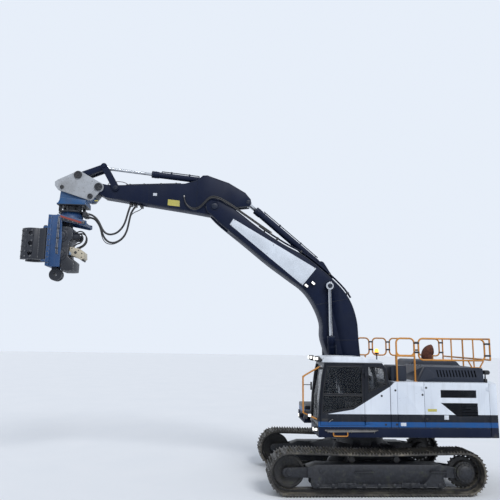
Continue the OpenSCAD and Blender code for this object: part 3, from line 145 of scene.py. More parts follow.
def fresh(name):
    """A new material with its tree and its shader."""
    made = bpy.data.materials.new(name)
    made.use_nodes = True
    return made, made.node_tree, made.node_tree.nodes["Principled BSDF"]


def finish_with(tree, shader, colour, roughness, height=None, depth=0.001):
    """Links colour, roughness and a bump of this depth in metres to the shader."""
    for value, name in ((colour, "Base Color"), (roughness, "Roughness")):
        if isinstance(value, bpy.types.NodeSocket):
            tree.links.new(value, shader.inputs[name])
        else:
            shader.inputs[name].default_value = value
    if height is not None:
        bump = add(tree, "Bump", Height=height, Distance=depth, Strength=0.6)
        tree.links.new(bump.outputs[0], shader.inputs["Normal"])


FLOOR_HALF = 90.0
floor_form = bmesh.new()
bmesh.ops.create_grid(floor_form, x_segments=2, y_segments=2, size=FLOOR_HALF)
floor_mesh = bpy.data.meshes.new("floor")
floor_form.to_mesh(floor_mesh)
floor_form.free()
floor = bpy.data.objects.new("floor", floor_mesh)
bpy.context.scene.collection.objects.link(floor)
floor_look, tree, shader = fresh("pale_floor")
finish_with(tree, shader, mixed(tree, speckle(tree, 0.6), (0.74, 0.76, 0.79), (0.80, 0.81, 0.83)), 0.85)
floor_mesh.materials.append(floor_look)

sky = bpy.data.worlds.new("sky")
bpy.context.scene.world = sky
sky.use_nodes = True
tree = sky.node_tree
path = add(tree, "LightPath")
seen = maths(tree, "MAXIMUM", path.outputs["Is Camera Ray"], path.outputs["Is Glossy Ray"])
seen = maths(tree, "MAXIMUM", seen, path.outputs["Is Transmission Ray"])
light_from_all = add(tree, "Background", Color=(0.80, 0.88, 1.0, 1), Strength=0.58)
pale_behind = add(tree, "Background", Color=(0.80, 0.86, 0.95, 1), Strength=1.0)
either = add(tree, "MixShader", Fac=seen)
tree.links.new(light_from_all.outputs[0], either.inputs[1])
tree.links.new(pale_behind.outputs[0], either.inputs[2])
tree.links.new(either.outputs[0], tree.nodes["World Output"].inputs[0])

for name, power, angle, aim in (("key", 1.7, 24, (0.35, -0.75, -0.75)),
                                ("fill", 0.5, 60, (-0.5, 0.6, -0.5))):
    lamp = bpy.data.lights.new(name, "SUN")
    lamp.energy = power
    lamp.angle = math.radians(angle)
    holder = bpy.data.objects.new(name, lamp)
    holder.rotation_euler = Vector(aim).to_track_quat("-Z", "Y").to_euler()
    bpy.context.scene.collection.objects.link(holder)

# ---- Hanging hoses
# Two thick hydraulic hoses and a thin one drop from unions under the stick and loop up to the manifold
# on the yoke. They are black rubber over steel braid, with a crimped steel ferrule at each end.
HOSE_FRONT = [
    (6.080, 0.06, 6.890), (6.110, 0.06, 6.790), (6.140, 0.06, 6.680), (6.165, 0.06, 6.570),
              (6.190, 0.06, 6.465),
    (6.230, 0.06, 6.345), (6.295, 0.06, 6.230), (6.385, 0.06, 6.135), (6.490, 0.06, 6.080),
              (6.600, 0.06, 6.067),
    (6.700, 0.06, 6.105), (6.775, 0.06, 6.185), (6.830, 0.06, 6.285), (6.885, 0.06, 6.385),
              (6.955, 0.06, 6.480),
    (7.040, 0.06, 6.550), (7.120, 0.06, 6.585), (7.200, 0.06, 6.590)
]
HOSE_REAR = [
    (5.965, -0.06, 6.876), (6.030, -0.06, 6.790), (6.080, -0.06, 6.685), (6.105, -0.06, 6.570),
             (6.125, -0.06, 6.450),
    (6.145, -0.06, 6.325), (6.170, -0.06, 6.205), (6.215, -0.06, 6.090), (6.280, -0.06, 5.995),
             (6.375, -0.06, 5.915),
    (6.490, -0.06, 5.870), (6.605, -0.06, 5.880), (6.705, -0.06, 5.945), (6.775, -0.06, 6.045),
             (6.822, -0.06, 6.155),
    (6.862, -0.06, 6.260), (6.910, -0.06, 6.360), (6.975, -0.06, 6.445), (7.050, -0.06, 6.500),
             (7.125, -0.06, 6.525),
    (7.200, -0.06, 6.530)
]
HOSE_THIN = [
    (5.800, -0.12, 6.855), (5.850, -0.12, 6.808), (5.915, -0.12, 6.768), (5.990, -0.12, 6.732),
             (6.055, -0.12, 6.685),
    (6.100, -0.12, 6.610), (6.122, -0.12, 6.520), (6.135, -0.12, 6.420), (6.152, -0.12, 6.310),
             (6.175, -0.12, 6.195),
    (6.215, -0.12, 6.085), (6.285, -0.12, 5.985), (6.380, -0.12, 5.905), (6.490, -0.12, 5.850),
             (6.600, -0.12, 5.838),
    (6.705, -0.12, 5.870), (6.785, -0.12, 5.955), (6.835, -0.12, 6.070), (6.870, -0.12, 6.190),
             (6.910, -0.12, 6.300),
    (6.970, -0.12, 6.400), (7.045, -0.12, 6.485), (7.120, -0.12, 6.530), (7.200, -0.12, 6.540)
]
HOSE_R, THIN_R = 0.026, 0.011


def smooth_line(points, steps=5):
    """A smooth line through the points, with this many steps between two of them."""
    p = [Vector(q) for q in points]
    line = []
    for i in range(len(p) - 1):
        a, b, c, d = p[max(i - 1, 0)], p[i], p[i + 1], p[min(i + 2, len(p) - 1)]
        for k in range(steps):
            t = k / steps
            line.append(0.5 * (2 * b + (c - a) * t + (2 * a - 5 * b + 4 * c - d) * t * t
                               + (3 * b - a - 3 * c + d) * t ** 3))
    return line + [p[-1]]


def piece(name, mesh, look, body):
    """A new piece in the scene that rides on a body."""
    made = bpy.data.objects.new(name, mesh)
    bpy.context.scene.collection.objects.link(made)
    for one in look if isinstance(look, (list, tuple)) else [look]:
        mesh.materials.append(one)
    if body:
        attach(made, body)
    return made


def tube(line, radius, closed=False, sides=16):
    """A bmesh of a round tube along a line, which ends in flat caps unless the line is a loop."""
    form = bmesh.new()
    line = [Vector(p) for p in line]
    last = len(line) - 1
    rings, side = [], None
    for i, at in enumerate(line):
        before, after = (line[i - 1], line[(i + 1) % (last + 1)]) if closed else (line[max(i - 1, 0)],
                                                                                  line[min(i + 1, last)])
        ahead = (after - before).normalized()
        side = ahead.orthogonal() if side is None else side - side.project(ahead)
        side.normalize()
        other = ahead.cross(side)
        turns = [math.tau * k / sides for k in range(sides)]
        rings.append([form.verts.new(at + radius * (math.cos(a) * side + math.sin(a) * other))
                      for a in turns])
    for one, two in zip(rings, rings[1:] + (rings[:1] if closed else [])):
        for k in range(sides):
            form.faces.new((one[k], one[(k + 1) % sides], two[(k + 1) % sides], two[k]))
    if not closed:
        form.faces.new(rings[0][::-1])
        form.faces.new(rings[-1])
    bmesh.ops.recalc_face_normals(form, faces=form.faces)
    return form


def turned(profile, start, end, parts=24):
    """A bmesh turned from [along, radius] pairs round the line from start to end."""
    form = bmesh.new()
    axis = (Vector(end) - Vector(start)).normalized()
    ring = [form.verts.new((radius, 0, along)) for along, radius in profile]
    edges = [form.edges.new(pair) for pair in zip(ring, ring[1:])]
    bmesh.ops.spin(form, geom=ring + edges, cent=(0, 0, 0), axis=(0, 0, 1), dvec=(0, 0, 0),
                   angle=math.tau, steps=parts, use_merge=True, use_duplicate=False)
    bmesh.ops.remove_doubles(form, verts=form.verts, dist=1e-5)
    bmesh.ops.recalc_face_normals(form, faces=form.faces)
    place = Matrix.Translation(Vector(start)) @ axis.to_track_quat("Z", "Y").to_matrix().to_4x4()
    bmesh.ops.transform(form, matrix=place, verts=form.verts)
    return form


def to_piece(form, name, look, body):
    """Turns a bmesh into a smooth piece, in which edges over 35 degrees stay sharp."""
    mesh = bpy.data.meshes.new(name)
    form.normal_update()
    form.to_mesh(mesh)
    form.free()
    mesh.shade_smooth()
    mesh.set_sharp_from_angle(angle=math.radians(35))
    return piece(name, mesh, look, body)


def joined(forms):
    """One bmesh from several."""
    whole = bmesh.new()
    for form in forms:
        mesh = bpy.data.meshes.new("part")
        form.to_mesh(mesh)
        form.free()
        whole.from_mesh(mesh)
        bpy.data.meshes.remove(mesh)
    return whole


rubber, tree, shader = fresh("hose_rubber")
scuffs = speckle(tree, 30, low=0.52, high=0.75)
finish_with(tree, shader, mixed(tree, scuffs, (0.016, 0.016, 0.018), (0.07, 0.068, 0.064)),
            maths(tree, "MULTIPLY_ADD", scuffs, 0.25, 0.42), speckle(tree, 420), 0.0006)

steel, tree, shader = fresh("fitting_steel")
shader.inputs["Metallic"].default_value = 0.9
tarnish = speckle(tree, 24, low=0.35, high=0.7)
finish_with(tree, shader, mixed(tree, tarnish, (0.36, 0.36, 0.36), (0.14, 0.13, 0.12)),
            maths(tree, "MULTIPLY_ADD", tarnish, 0.3, 0.28), speckle(tree, 300), 0.0004)

for name, route, radius in (("hose_front", HOSE_FRONT, HOSE_R), ("hose_rear", HOSE_REAR, HOSE_R),
                            ("hose_thin", HOSE_THIN, THIN_R)):
    line = smooth_line(route)
    hose = to_piece(tube(line, radius, sides=20), name + "_rubber", rubber, None)
    ferrule = [(0.0, radius + 0.001), (0.004, radius + 0.007), (0.050, radius + 0.007),
               (0.056, radius + 0.001)]
    lead = (line[2] - line[0]).normalized()
    top = to_piece(turned(ferrule, line[0] - 0.02 * lead, line[0] + lead), name + "_union", steel,
                   "stick")
    end = to_piece(turned(ferrule, line[-1] - Vector((0.057, 0, 0)), line[-1]), name + "_ferrule", steel,
                   "coupler")
    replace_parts(hose, name)
    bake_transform(hose)

# ---- Undercarriage
# A welded H-shaped carbody joins two box-section track frames. All of it is thick steel plate in dark
# paint that is mostly hidden by dried mud, with bare rubbed metal along its edges.

# Nodes whose flat faces stay as triangles: merged, a face round holes or a notch tears or folds
UNMERGED = {"carbody", "track_frames", "house_frame", "body_panels", "counterweight", "hood",
            "rear_cover",
            "cab_frame", "boom_barrels", "stick", "h_link", "yoke", "head_frame"}


def softened(node, width, look, angle=32, segments=2, worn=None):
    """A copy of a CAD node with rounded edges, which stands for it."""
    form = bmesh.new()
    form.from_mesh(frame["nodes"][node].data)
    bmesh.ops.remove_doubles(form, verts=form.verts, dist=3e-5)
    if node not in UNMERGED:
        bmesh.ops.dissolve_limit(form, angle_limit=math.radians(0.6), verts=form.verts, edges=form.edges)
    edges = []
    for edge in form.edges:
        if len(edge.link_faces) != 2 or edge.calc_face_angle(0) < math.radians(angle):
            continue
        reach = edge.calc_length()
        narrow = min(face.calc_area() for face in edge.link_faces) / max(reach, 1e-6)
        if reach > 1.6 * width and narrow > 1.6 * width:
            edges.append(edge)
    bmesh.ops.bevel(form, geom=edges, offset=width, segments=segments, profile=0.5, affect="EDGES",
                    clamp_overlap=False, material=1 if worn else -1)
    body = frame["nodes"][node]["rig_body"]
    made = to_piece(form, node + "_finish", [look, worn] if worn else look, body)
    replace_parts(made, node)
    return made


def coat(name, colour, under, wear=0.62, rough=0.42, grime=(0.10, 0.085, 0.07), dust=0.25, grain=1.0,
         gloss=0.5):
    """Paint over metal: chips down to the colour under it, grime in clouds and streaks that run down."""
    look, tree, shader = fresh(name)
    shader.inputs["Specular IOR Level"].default_value = gloss
    shade = speckle(tree, 1.3 * grain, low=0.3, high=0.7)
    skin = mixed(tree, shade, [0.82 * c for c in colour], [min(1, 1.12 * c) for c in colour])
    streak = speckle(tree, 7 * grain, stretch=(1, 1, 0.12), low=0.48, high=0.8)
    cloud = speckle(tree, 2.2 * grain, detail=6, low=0.42, high=0.75)
    grimy = maths(tree, "MULTIPLY", maths(tree, "MAXIMUM", streak, cloud), dust)
    skin = mixed(tree, grimy, skin, grime)
    chips = speckle(tree, 34 * grain, detail=8, low=wear, high=wear + 0.03, rough=0.62)
    skin = mixed(tree, chips, skin, under)
    wet = maths(tree, "MULTIPLY_ADD", grimy, 0.5, rough)
    finish_with(tree, shader, skin, maths(tree, "MAXIMUM", wet, maths(tree, "MULTIPLY", chips, 0.6)),
                speckle(tree, 160 * grain), 0.0006)
    return look


def cast_mud(name, steel_colour, low=0.42, high=0.62, mud=(0.155, 0.135, 0.105)):
    """Dark worked steel with drying mud and a little green on it."""
    look, tree, shader = fresh(name)
    clods = speckle(tree, 5.5, detail=9, low=low, high=high, rough=0.68)
    damp = speckle(tree, 1.6, low=0.35, high=0.65)
    green = speckle(tree, 11, detail=3, low=0.60, high=0.66)
    earth = mixed(tree, damp, [0.45 * c for c in mud], mud)
    earth = mixed(tree, maths(tree, "MULTIPLY", green, 0.7), earth, (0.045, 0.06, 0.022))
    metal = mixed(tree, speckle(tree, 22, low=0.4, high=0.7), steel_colour,
                  [2.4 * c for c in steel_colour])
    finish_with(tree, shader, mixed(tree, clods, metal, earth),
                maths(tree, "MULTIPLY_ADD", clods, 0.35, 0.5), speckle(tree, 38, detail=8, rough=0.7),
                0.006)
    return look


def block(low, high, soft=0.006, segments=2, turn=0.0):
    """A bmesh box between two corners with round edges, turned about Y through its middle."""
    form = bmesh.new()
    low, high = Vector(low), Vector(high)
    size = high - low
    bmesh.ops.create_cube(form, size=1, matrix=Matrix.Diagonal((*size, 1)))
    if soft:
        bmesh.ops.bevel(form, geom=form.edges[:], offset=min(soft, 0.45 * min(size)), segments=segments,
                        profile=0.5, affect="EDGES", material=-1)
    place = Matrix.Translation((low + high) / 2) @ Matrix.Rotation(-turn, 4, "Y")
    bmesh.ops.transform(form, matrix=place, verts=form.verts)
    return form


def side_block(s, low, high, soft=0.006, turn=0.0):
    """A block given for the left side, which s = -1 puts on the right side instead."""
    near, far = sorted((s * low[1], s * high[1]))
    return block((low[0], near, low[2]), (high[0], far, high[2]), soft, turn=turn)


def plate(outline, from_y, to_y, soft=0.0):
    """A bmesh plate with this outline in X and Z, between two places on Y."""
    form = bmesh.new()
    face = form.faces.new([form.verts.new((x, from_y, z)) for x, z in outline])
    grown = bmesh.ops.extrude_face_region(form, geom=[face])["geom"]
    bmesh.ops.translate(form, vec=(0, to_y - from_y, 0),
                        verts=[v for v in grown if isinstance(v, bmesh.types.BMVert)])
    bmesh.ops.recalc_face_normals(form, faces=form.faces)
    if soft:
        bmesh.ops.bevel(form, geom=form.edges[:], offset=soft, segments=2, profile=0.5, affect="EDGES",
                        material=-1)
    return form


def bolts(places, axis, radius=0.014, height=0.010):
    """Hexagon heads on washers at these places, all pointing along the axis."""
    form = bmesh.new()
    turn = Vector(axis).to_track_quat("Z", "Y").to_matrix().to_4x4()
    for at in places:
        foot = Matrix.Translation(Vector(at)) @ turn
        bmesh.ops.create_cone(form, cap_ends=True, segments=12, radius1=1.5 * radius,
                              radius2=1.5 * radius,
                              depth=0.25 * height,
                              matrix=foot @ Matrix.Translation((0, 0, 0.125 * height)))
        bmesh.ops.create_cone(form, cap_ends=True, segments=6, radius1=radius, radius2=0.94 * radius,
                              depth=0.75 * height,
                              matrix=foot @ Matrix.Translation((0, 0, 0.625 * height)))
    return form


def ring_of(count, radius, centre, start=0.0):
    """Points round a centre in the X and Z plane."""
    turns = [start + math.tau * k / count for k in range(count)]
    return [(centre[0] + radius * math.cos(a), centre[1], centre[2] + radius * math.sin(a))
            for a in turns]


def pin_caps(pins, name, look, body, radius=0.07):
    """Round keeper plates with three bolts on the ends of pins, on both sides of the middle."""
    forms = []
    for x, y, z in pins:
        for s in (1, -1):
            at = Vector((x, s * y, z))
            dish = [(0, radius), (0.008, radius), (0.012, radius - 0.006), (0.012, 0.020), (0.016, 0)]
            forms.append(turned(dish, at, at + Vector((0, s, 0))))
            rim = ring_of(3, 0.62 * radius, (x, s * (y + 0.012), z), 0.5)
            forms.append(bolts(rim, (0, s, 0), 0.011))
    return to_piece(joined(forms), name, look, body)


frame_mud = cast_mud("frame_mud", (0.0075, 0.0085, 0.012), 0.53, 0.80, (0.065, 0.06, 0.052))
for node, width in (("carbody", 0.012), ("track_frames", 0.008), ("slew_ring", 0.005)):
    softened(node, width, frame_mud)

BACK_X, FRONT_X, AXLE_Z, TRACK_Y = -2.011, 2.0, 0.487755, 1.3
ROLLER_X, ROLLER_Z = [1.37 - 0.35 * i for i in range(9)], 0.2133
BEAM_FACE, RING_FACE, HUB_FACE, IDLER_FACE = 1.480, 1.470, 1.520, 1.449
GREASE_X, GREASE_Z = 1.28, 0.53
forms = []
for s in (1, -1):
    side = s * BEAM_FACE
    # Guards over the bottom rollers, a step on the beam and the grease door of the track adjuster
    for x in (0.7025, -0.750):
        forms.append(plate([(x - 0.20, 0.28), (x + 0.20, 0.28), (x + 0.215, 0.235), (x + 0.215, 0.165),
                            (x - 0.215, 0.165),
                            (x - 0.215, 0.235)], side - s * 0.004, side + s * 0.012, 0.002))
        forms.append(bolts([(x + d, side + s * 0.012, 0.253) for d in (-0.15, 0, 0.15)], (0, s, 0),
                           0.016, 0.012))
    for x0, x1 in ((-1.60, -1.21), (0.10, 0.52)):
        forms.append(side_block(s, (x0, BEAM_FACE, 0.50), (x1, BEAM_FACE + 0.06, 0.525)))
    forms.append(turned([(0, 0.062), (0.006, 0.062), (0.009, 0.055), (0.009, 0)],
                        (GREASE_X, side, GREASE_Z), (GREASE_X, 2 * side, GREASE_Z)))
    forms.append(bolts(ring_of(4, 0.045, (GREASE_X, side + s * 0.009, GREASE_Z)), (0, s, 0), 0.009,
                       0.008))
    # Bottom rollers: the end of each axle with its two bolts
    for x in ROLLER_X:
        forms.append(turned([(0, 0.046), (0.010, 0.046), (0.014, 0.040), (0.014, 0)],
                            (x, side - s * 0.002, ROLLER_Z),
                            (x, 2 * side, ROLLER_Z)))
        forms.append(bolts([(x - 0.075, side, 0.235), (x + 0.075, side, 0.235)], (0, s, 0), 0.012))
    # Final drive: its two rings of bolts, the domed cover and three plugs
    hub = s * HUB_FACE
    forms.append(bolts(ring_of(20, 0.221, (BACK_X, s * RING_FACE, AXLE_Z)), (0, s, 0), 0.012, 0.014))
    forms.append(turned([(0, 0.150), (0.010, 0.150), (0.018, 0.138), (0.030, 0.070), (0.033, 0)],
                        (BACK_X, hub, AXLE_Z),
                        (BACK_X, 2 * hub, AXLE_Z), 32))
    forms.append(bolts(ring_of(12, 0.176, (BACK_X, hub, AXLE_Z)), (0, s, 0), 0.012, 0.012))
    forms.append(bolts(ring_of(3, 0.092, (BACK_X, hub + s * 0.025, AXLE_Z), 0.4), (0, s, 0), 0.016,
                       0.010))
    # Idler: the cap of its axle
    cap = s * IDLER_FACE
    forms.append(turned([(0, 0.085), (0.012, 0.085), (0.020, 0.075), (0.020, 0)], (FRONT_X, cap, AXLE_Z),
                        (FRONT_X, 2 * cap, AXLE_Z)))
    forms.append(bolts(ring_of(4, 0.058, (FRONT_X, cap + s * 0.020, AXLE_Z), 0.78), (0, s, 0), 0.012))
to_piece(joined(forms), "undercarriage_fittings", frame_mud, "undercarriage")

# ---- Tracks
# Forged links carry 49 steel shoes with three bars each. The shoes are bare, brown and grey, with wet
# earth pressed into them, and each is held by four bolts.
shoe_steel, tree, shader = fresh("shoe_steel")
packed = speckle(tree, 7, detail=9, low=0.40, high=0.60, rough=0.7)
patches = speckle(tree, 1.1, low=0.35, high=0.62)
sand = mixed(tree, patches, (0.030, 0.027, 0.024), (0.17, 0.15, 0.12))
sand = mixed(tree, maths(tree, "MULTIPLY", speckle(tree, 14, low=0.6, high=0.66), 0.6), sand,
             (0.05, 0.07, 0.02))
bare = mixed(tree, speckle(tree, 26, low=0.4, high=0.7), (0.012, 0.0115, 0.012), (0.055, 0.050, 0.045))
finish_with(tree, shader, mixed(tree, maths(tree, "MULTIPLY", packed, patches), bare, sand),
            maths(tree, "MULTIPLY_ADD", packed, 0.35, 0.42), speckle(tree, 45, detail=9, rough=0.72),
            0.008)
chain_grease = cast_mud("chain_grease", (0.008, 0.008, 0.009), 0.50, 0.72, (0.065, 0.058, 0.05))


def painted(node, look):
    """Gives a CAD node, which keeps its own mesh, this one look."""
    frame["nodes"][node].data.materials.clear()
    frame["nodes"][node].data.materials.append(look)


for node in ("track_left", "track_right"):
    painted(node, shoe_steel)
for node in ("idlers", "sprockets", "rollers"):
    softened(node, 0.004, chain_grease)

TRACK_R, SAG, PITCH_L, SHOES = 0.407755, 0.038, 0.216, 49
WHEELBASE, HALF_TURN = FRONT_X - BACK_X, math.pi * TRACK_R
SHOE_BOLT, BOLT_STEP, BOLT_Y, LINK_Y = 0.045, 0.039, 0.058, 0.0995


def on_track(s):
    """The place on the track's pitch line at the length s as x, z and the angle of the run."""
    s %= 2 * (WHEELBASE + HALF_TURN)
    if s < WHEELBASE:
        return BACK_X + s, AXLE_Z - TRACK_R, 0.0
    if s < WHEELBASE + HALF_TURN:
        a = (s - WHEELBASE) / TRACK_R
        return FRONT_X + TRACK_R * math.sin(a), AXLE_Z - TRACK_R * math.cos(a), a
    if s < 2 * WHEELBASE + HALF_TURN:
        u = (s - WHEELBASE - HALF_TURN) / WHEELBASE
        return FRONT_X - u * WHEELBASE, AXLE_Z + TRACK_R - SAG * math.sin(math.pi * u) ** 2, math.pi
    a = (s - 2 * WHEELBASE - HALF_TURN) / TRACK_R
    return BACK_X - TRACK_R * math.sin(a), AXLE_Z + TRACK_R * math.cos(a), math.pi + a


def off_track(s, out, y):
    """The point this far outside the pitch line, and the direction that points outwards there."""
    x, z, a = on_track(s)
    outwards = Vector((math.sin(a), 0, -math.cos(a)))
    return Vector((x, y, z)) + out * outwards, outwards


LINK = [(0.5 * PITCH_L * t + 0.030 * math.cos(a), -0.014 + 0.028 * math.sin(a))
        for t, turns in ((1, (-1.2, -0.6, 0, 0.6, 1.2)), (0, (1.57,)),
                         (-1, (1.94, 2.54, 3.14, 3.74, 4.34)), (0, (4.71,)))
        for a in turns]
chance = random.Random(7)
earth_clod = cast_mud("earth_clod", (0.035, 0.031, 0.026), 0.30, 0.55, (0.15, 0.135, 0.11))
for side, name in ((1, "left"), (-1, "right")):
    heads, links = [], []
    clods = bmesh.new()
    for i in range(SHOES):
        s = (i + 0.5) * PITCH_L
        for d in (-BOLT_STEP, BOLT_STEP):
            at, outwards = off_track(s + d, SHOE_BOLT, 0)
            heads.append(bolts([at + Vector((0, side * TRACK_Y + t, 0)) for t in (-BOLT_Y, BOLT_Y)],
                               outwards, 0.013, 0.013))
        for t in (-1, 1):
            # A link's side plate and the end of its pin; every second plate lies further out
            thick = 0.006 + 0.004 * (i % 2) + 0.004 * (i == SHOES - 1)
            face = side * TRACK_Y + t * LINK_Y
            outline = []
            for along, out in LINK:
                at, _ = off_track(s + along, out, 0)
                outline.append((at.x, at.z))
            links.append(plate(outline, face, face + t * thick))
            at, _ = off_track(s + 0.5 * PITCH_L, -0.014, face)
            links.append(turned([(0, 0.017), (0.013, 0.017), (0.016, 0.013), (0.016, 0)], at,
                                at + Vector((0, t, 0)), 12))
        for _ in range(5):
            along = s + chance.uniform(-0.07, 0.07)
            at, outwards = off_track(along, chance.uniform(0.040, 0.056),
                                     side * TRACK_Y + chance.uniform(-0.25, 0.25))
            if at.z > 0.35:
                size = chance.uniform(0.010, 0.026)
                before = set(clods.verts)
                turn = outwards.to_track_quat("Z", "Y").to_matrix().to_4x4()
                place = Matrix.Translation(at) @ turn @ Matrix.Diagonal((1.5, 1.1, 0.7, 1))
                bmesh.ops.create_icosphere(clods, subdivisions=2, radius=size, matrix=place)
                # In the mesh's own order, so that each run gives each vertex the same draws
                for vert in [v for v in clods.verts if v not in before]:
                    vert.co += Vector([chance.uniform(-0.13, 0.13) * size for _ in range(3)])
    to_piece(joined(heads), "shoe_bolts_" + name, shoe_steel, "undercarriage")
    to_piece(joined(links), "chain_links_" + name, chain_grease, "undercarriage")
    to_piece(clods, "track_mud_" + name, earth_clod, "undercarriage")

# ---- House frame and panels
# The turntable's deck is a painted plate structure with a deep dark skirt. Over it stand pressed white
# side panels with a blue stripe and a black band, hung doors, and a heavy cast counterweight.
NAVY = (0.0035, 0.0085, 0.030)
CHIPPED = (0.06, 0.06, 0.062)
navy = coat("navy_paint", NAVY, CHIPPED, wear=0.71, rough=0.42, grime=(0.022, 0.027, 0.040), dust=0.25,
            gloss=0.16)
navy_worn = coat("navy_worn_edge", (0.010, 0.016, 0.034), (0.12, 0.12, 0.12), wear=0.59, rough=0.4,
                 grime=(0.03, 0.034, 0.045),
                 dust=0.2, gloss=0.3)
softened("house_frame", 0.008, navy, worn=navy_worn)

WHITE = (0.72, 0.76, 0.82)
BANDS = [(1.20, NAVY), (1.468, (0.010, 0.085, 0.27)), (1.585, (0.006, 0.009, 0.017)), (1.755, WHITE)]
BAND_LOW, BAND_HIGH = 1.2, 2.6
SWEEP = [(-0.60, 2.60), (-0.455, 2.482), (-0.334, 2.377), (0.241, 2.030), (0.530, 1.859), (1.010, 1.779),
         (1.257, 1.736), (1.40, 1.70)]
SWEEP_X, SWEEP_Z = (-0.6, 1.4), (1.6, 2.6)


def livery(name, swept_line=False, face_y=None, rough=0.32, dirt=1.0):
    """The house's paint by height: skirt, blue stripe, black band, white. A swept line ends the white."""
    look, tree, shader = fresh(name)
    shader.inputs["Specular IOR Level"].default_value = 0.28
    where = add(tree, "SeparateXYZ", Vector=add(tree, "TexCoord").outputs["Object"])
    x, y, z = where.outputs
    ramp = tree.nodes.new("ShaderNodeValToRGB")
    ramp.color_ramp.interpolation = "CONSTANT"
    while len(ramp.color_ramp.elements) < len(BANDS):
        ramp.color_ramp.elements.new(0.5)
    for stop, (height, colour) in zip(ramp.color_ramp.elements, BANDS):
        stop.position = (height - BAND_LOW) / (BAND_HIGH - BAND_LOW)
        stop.color = (*colour, 1)
    tree.links.new(add(tree, "MapRange", Value=z,
                       **{"From_Min": BAND_LOW, "From_Max": BAND_HIGH}).outputs[0],
                   ramp.inputs[0])
    skin = ramp.outputs[0]
    dark = maths(tree, "LESS_THAN", y, face_y) if face_y else None
    if swept_line:
        curve = tree.nodes.new("ShaderNodeFloatCurve")
        line = curve.mapping.curves[0]
        while len(line.points) < len(SWEEP):
            line.points.new(0.5, 0.5)
        for point, (px, pz) in zip(line.points, SWEEP):
            point.location = ((px - SWEEP_X[0]) / (SWEEP_X[1] - SWEEP_X[0]),
                              (pz - SWEEP_Z[0]) / (SWEEP_Z[1] - SWEEP_Z[0]))
            point.handle_type = "VECTOR"
        curve.mapping.update()
        along = add(tree, "MapRange", Value=x,
                    **{"From_Min": SWEEP_X[0], "From_Max": SWEEP_X[1]}).outputs[0]
        tree.links.new(along, curve.inputs["Value"])
        line_z = maths(tree, "MULTIPLY_ADD", curve.outputs[0], SWEEP_Z[1] - SWEEP_Z[0], SWEEP_Z[0])
        over = maths(tree, "MULTIPLY", maths(tree, "GREATER_THAN", z, line_z),
                     maths(tree, "GREATER_THAN", x, -0.4555))
        dark = maths(tree, "MAXIMUM", over, dark) if face_y else over
    if dark:
        skin = mixed(tree, dark, skin, (0.006, 0.008, 0.014))
    tone = speckle(tree, 0.9, low=0.3, high=0.7)
    skin = mixed(tree, tone, skin, (0.88, 0.90, 0.93), "MULTIPLY")
    runs = speckle(tree, 9, stretch=(1, 1, 0.07), low=0.52, high=0.85)
    mud_z = add(tree, "MapRange", Value=z, **{"From_Min": 1.75, "From_Max": 1.25}).outputs[0]
    low_mud = maths(tree, "MULTIPLY", mud_z, speckle(tree, 6, detail=8, low=0.46, high=0.7))
    dirty = maths(tree, "MULTIPLY", maths(tree, "MAXIMUM", maths(tree, "MULTIPLY", runs, 0.22),
                                          maths(tree, "MULTIPLY", low_mud, 0.5)), dirt)
    skin = mixed(tree, dirty, skin, (0.075, 0.070, 0.062))
    scratch = speckle(tree, 60, stretch=(0.25, 1, 1.6), detail=2, low=0.70, high=0.73)
    skin = mixed(tree, maths(tree, "MULTIPLY", scratch, 0.4), skin, (0.12, 0.12, 0.13))
    finish_with(tree, shader, skin, maths(tree, "MULTIPLY_ADD", dirty, 0.6, rough), speckle(tree, 190),
                0.0003)
    return look


side_paint = livery("side_paint", swept_line=True)
panel_paint = livery("panel_paint")
vent_paint = livery("vent_paint", face_y=1.4845)
cast_paint = livery("counterweight_paint", dirt=1.6, rough=0.4)
for node, width in (("body_panels", 0.006), ("door_front", 0.006), ("door_right", 0.006),
                    ("tank_block", 0.022)):
    softened(node, width, side_paint if node in ("body_panels", "door_front") else panel_paint,
             segments=3)
softened("counterweight", 0.010, cast_paint, angle=40, segments=2)
softened("door_rear", 0.004, vent_paint, segments=2)

cover_grey = coat("cover_grey", (0.020, 0.026, 0.042), (0.07, 0.07, 0.07), wear=0.76, rough=0.48,
                  grime=(0.045, 0.047, 0.055), dust=0.28, gloss=0.3)
softened("hood", 0.020, cover_grey, segments=3)
softened("rear_cover", 0.030, cover_grey, segments=3)

rusty, tree, shader = fresh("exhaust_rust")
flake = speckle(tree, 16, detail=8, low=0.35, high=0.7)
rust = mixed(tree, flake, (0.050, 0.014, 0.009), (0.15, 0.045, 0.022))
finish_with(tree, shader, mixed(tree, speckle(tree, 45, low=0.6, high=0.75), rust, (0.03, 0.025, 0.025)),
            0.85, flake, 0.002)
softened("exhaust", 0.003, rusty)
engine_grey = coat("engine_grey", (0.09, 0.09, 0.095), (0.2, 0.2, 0.2), wear=0.7, rough=0.5, dust=0.5)
softened("engine_block", 0.02, engine_grey)

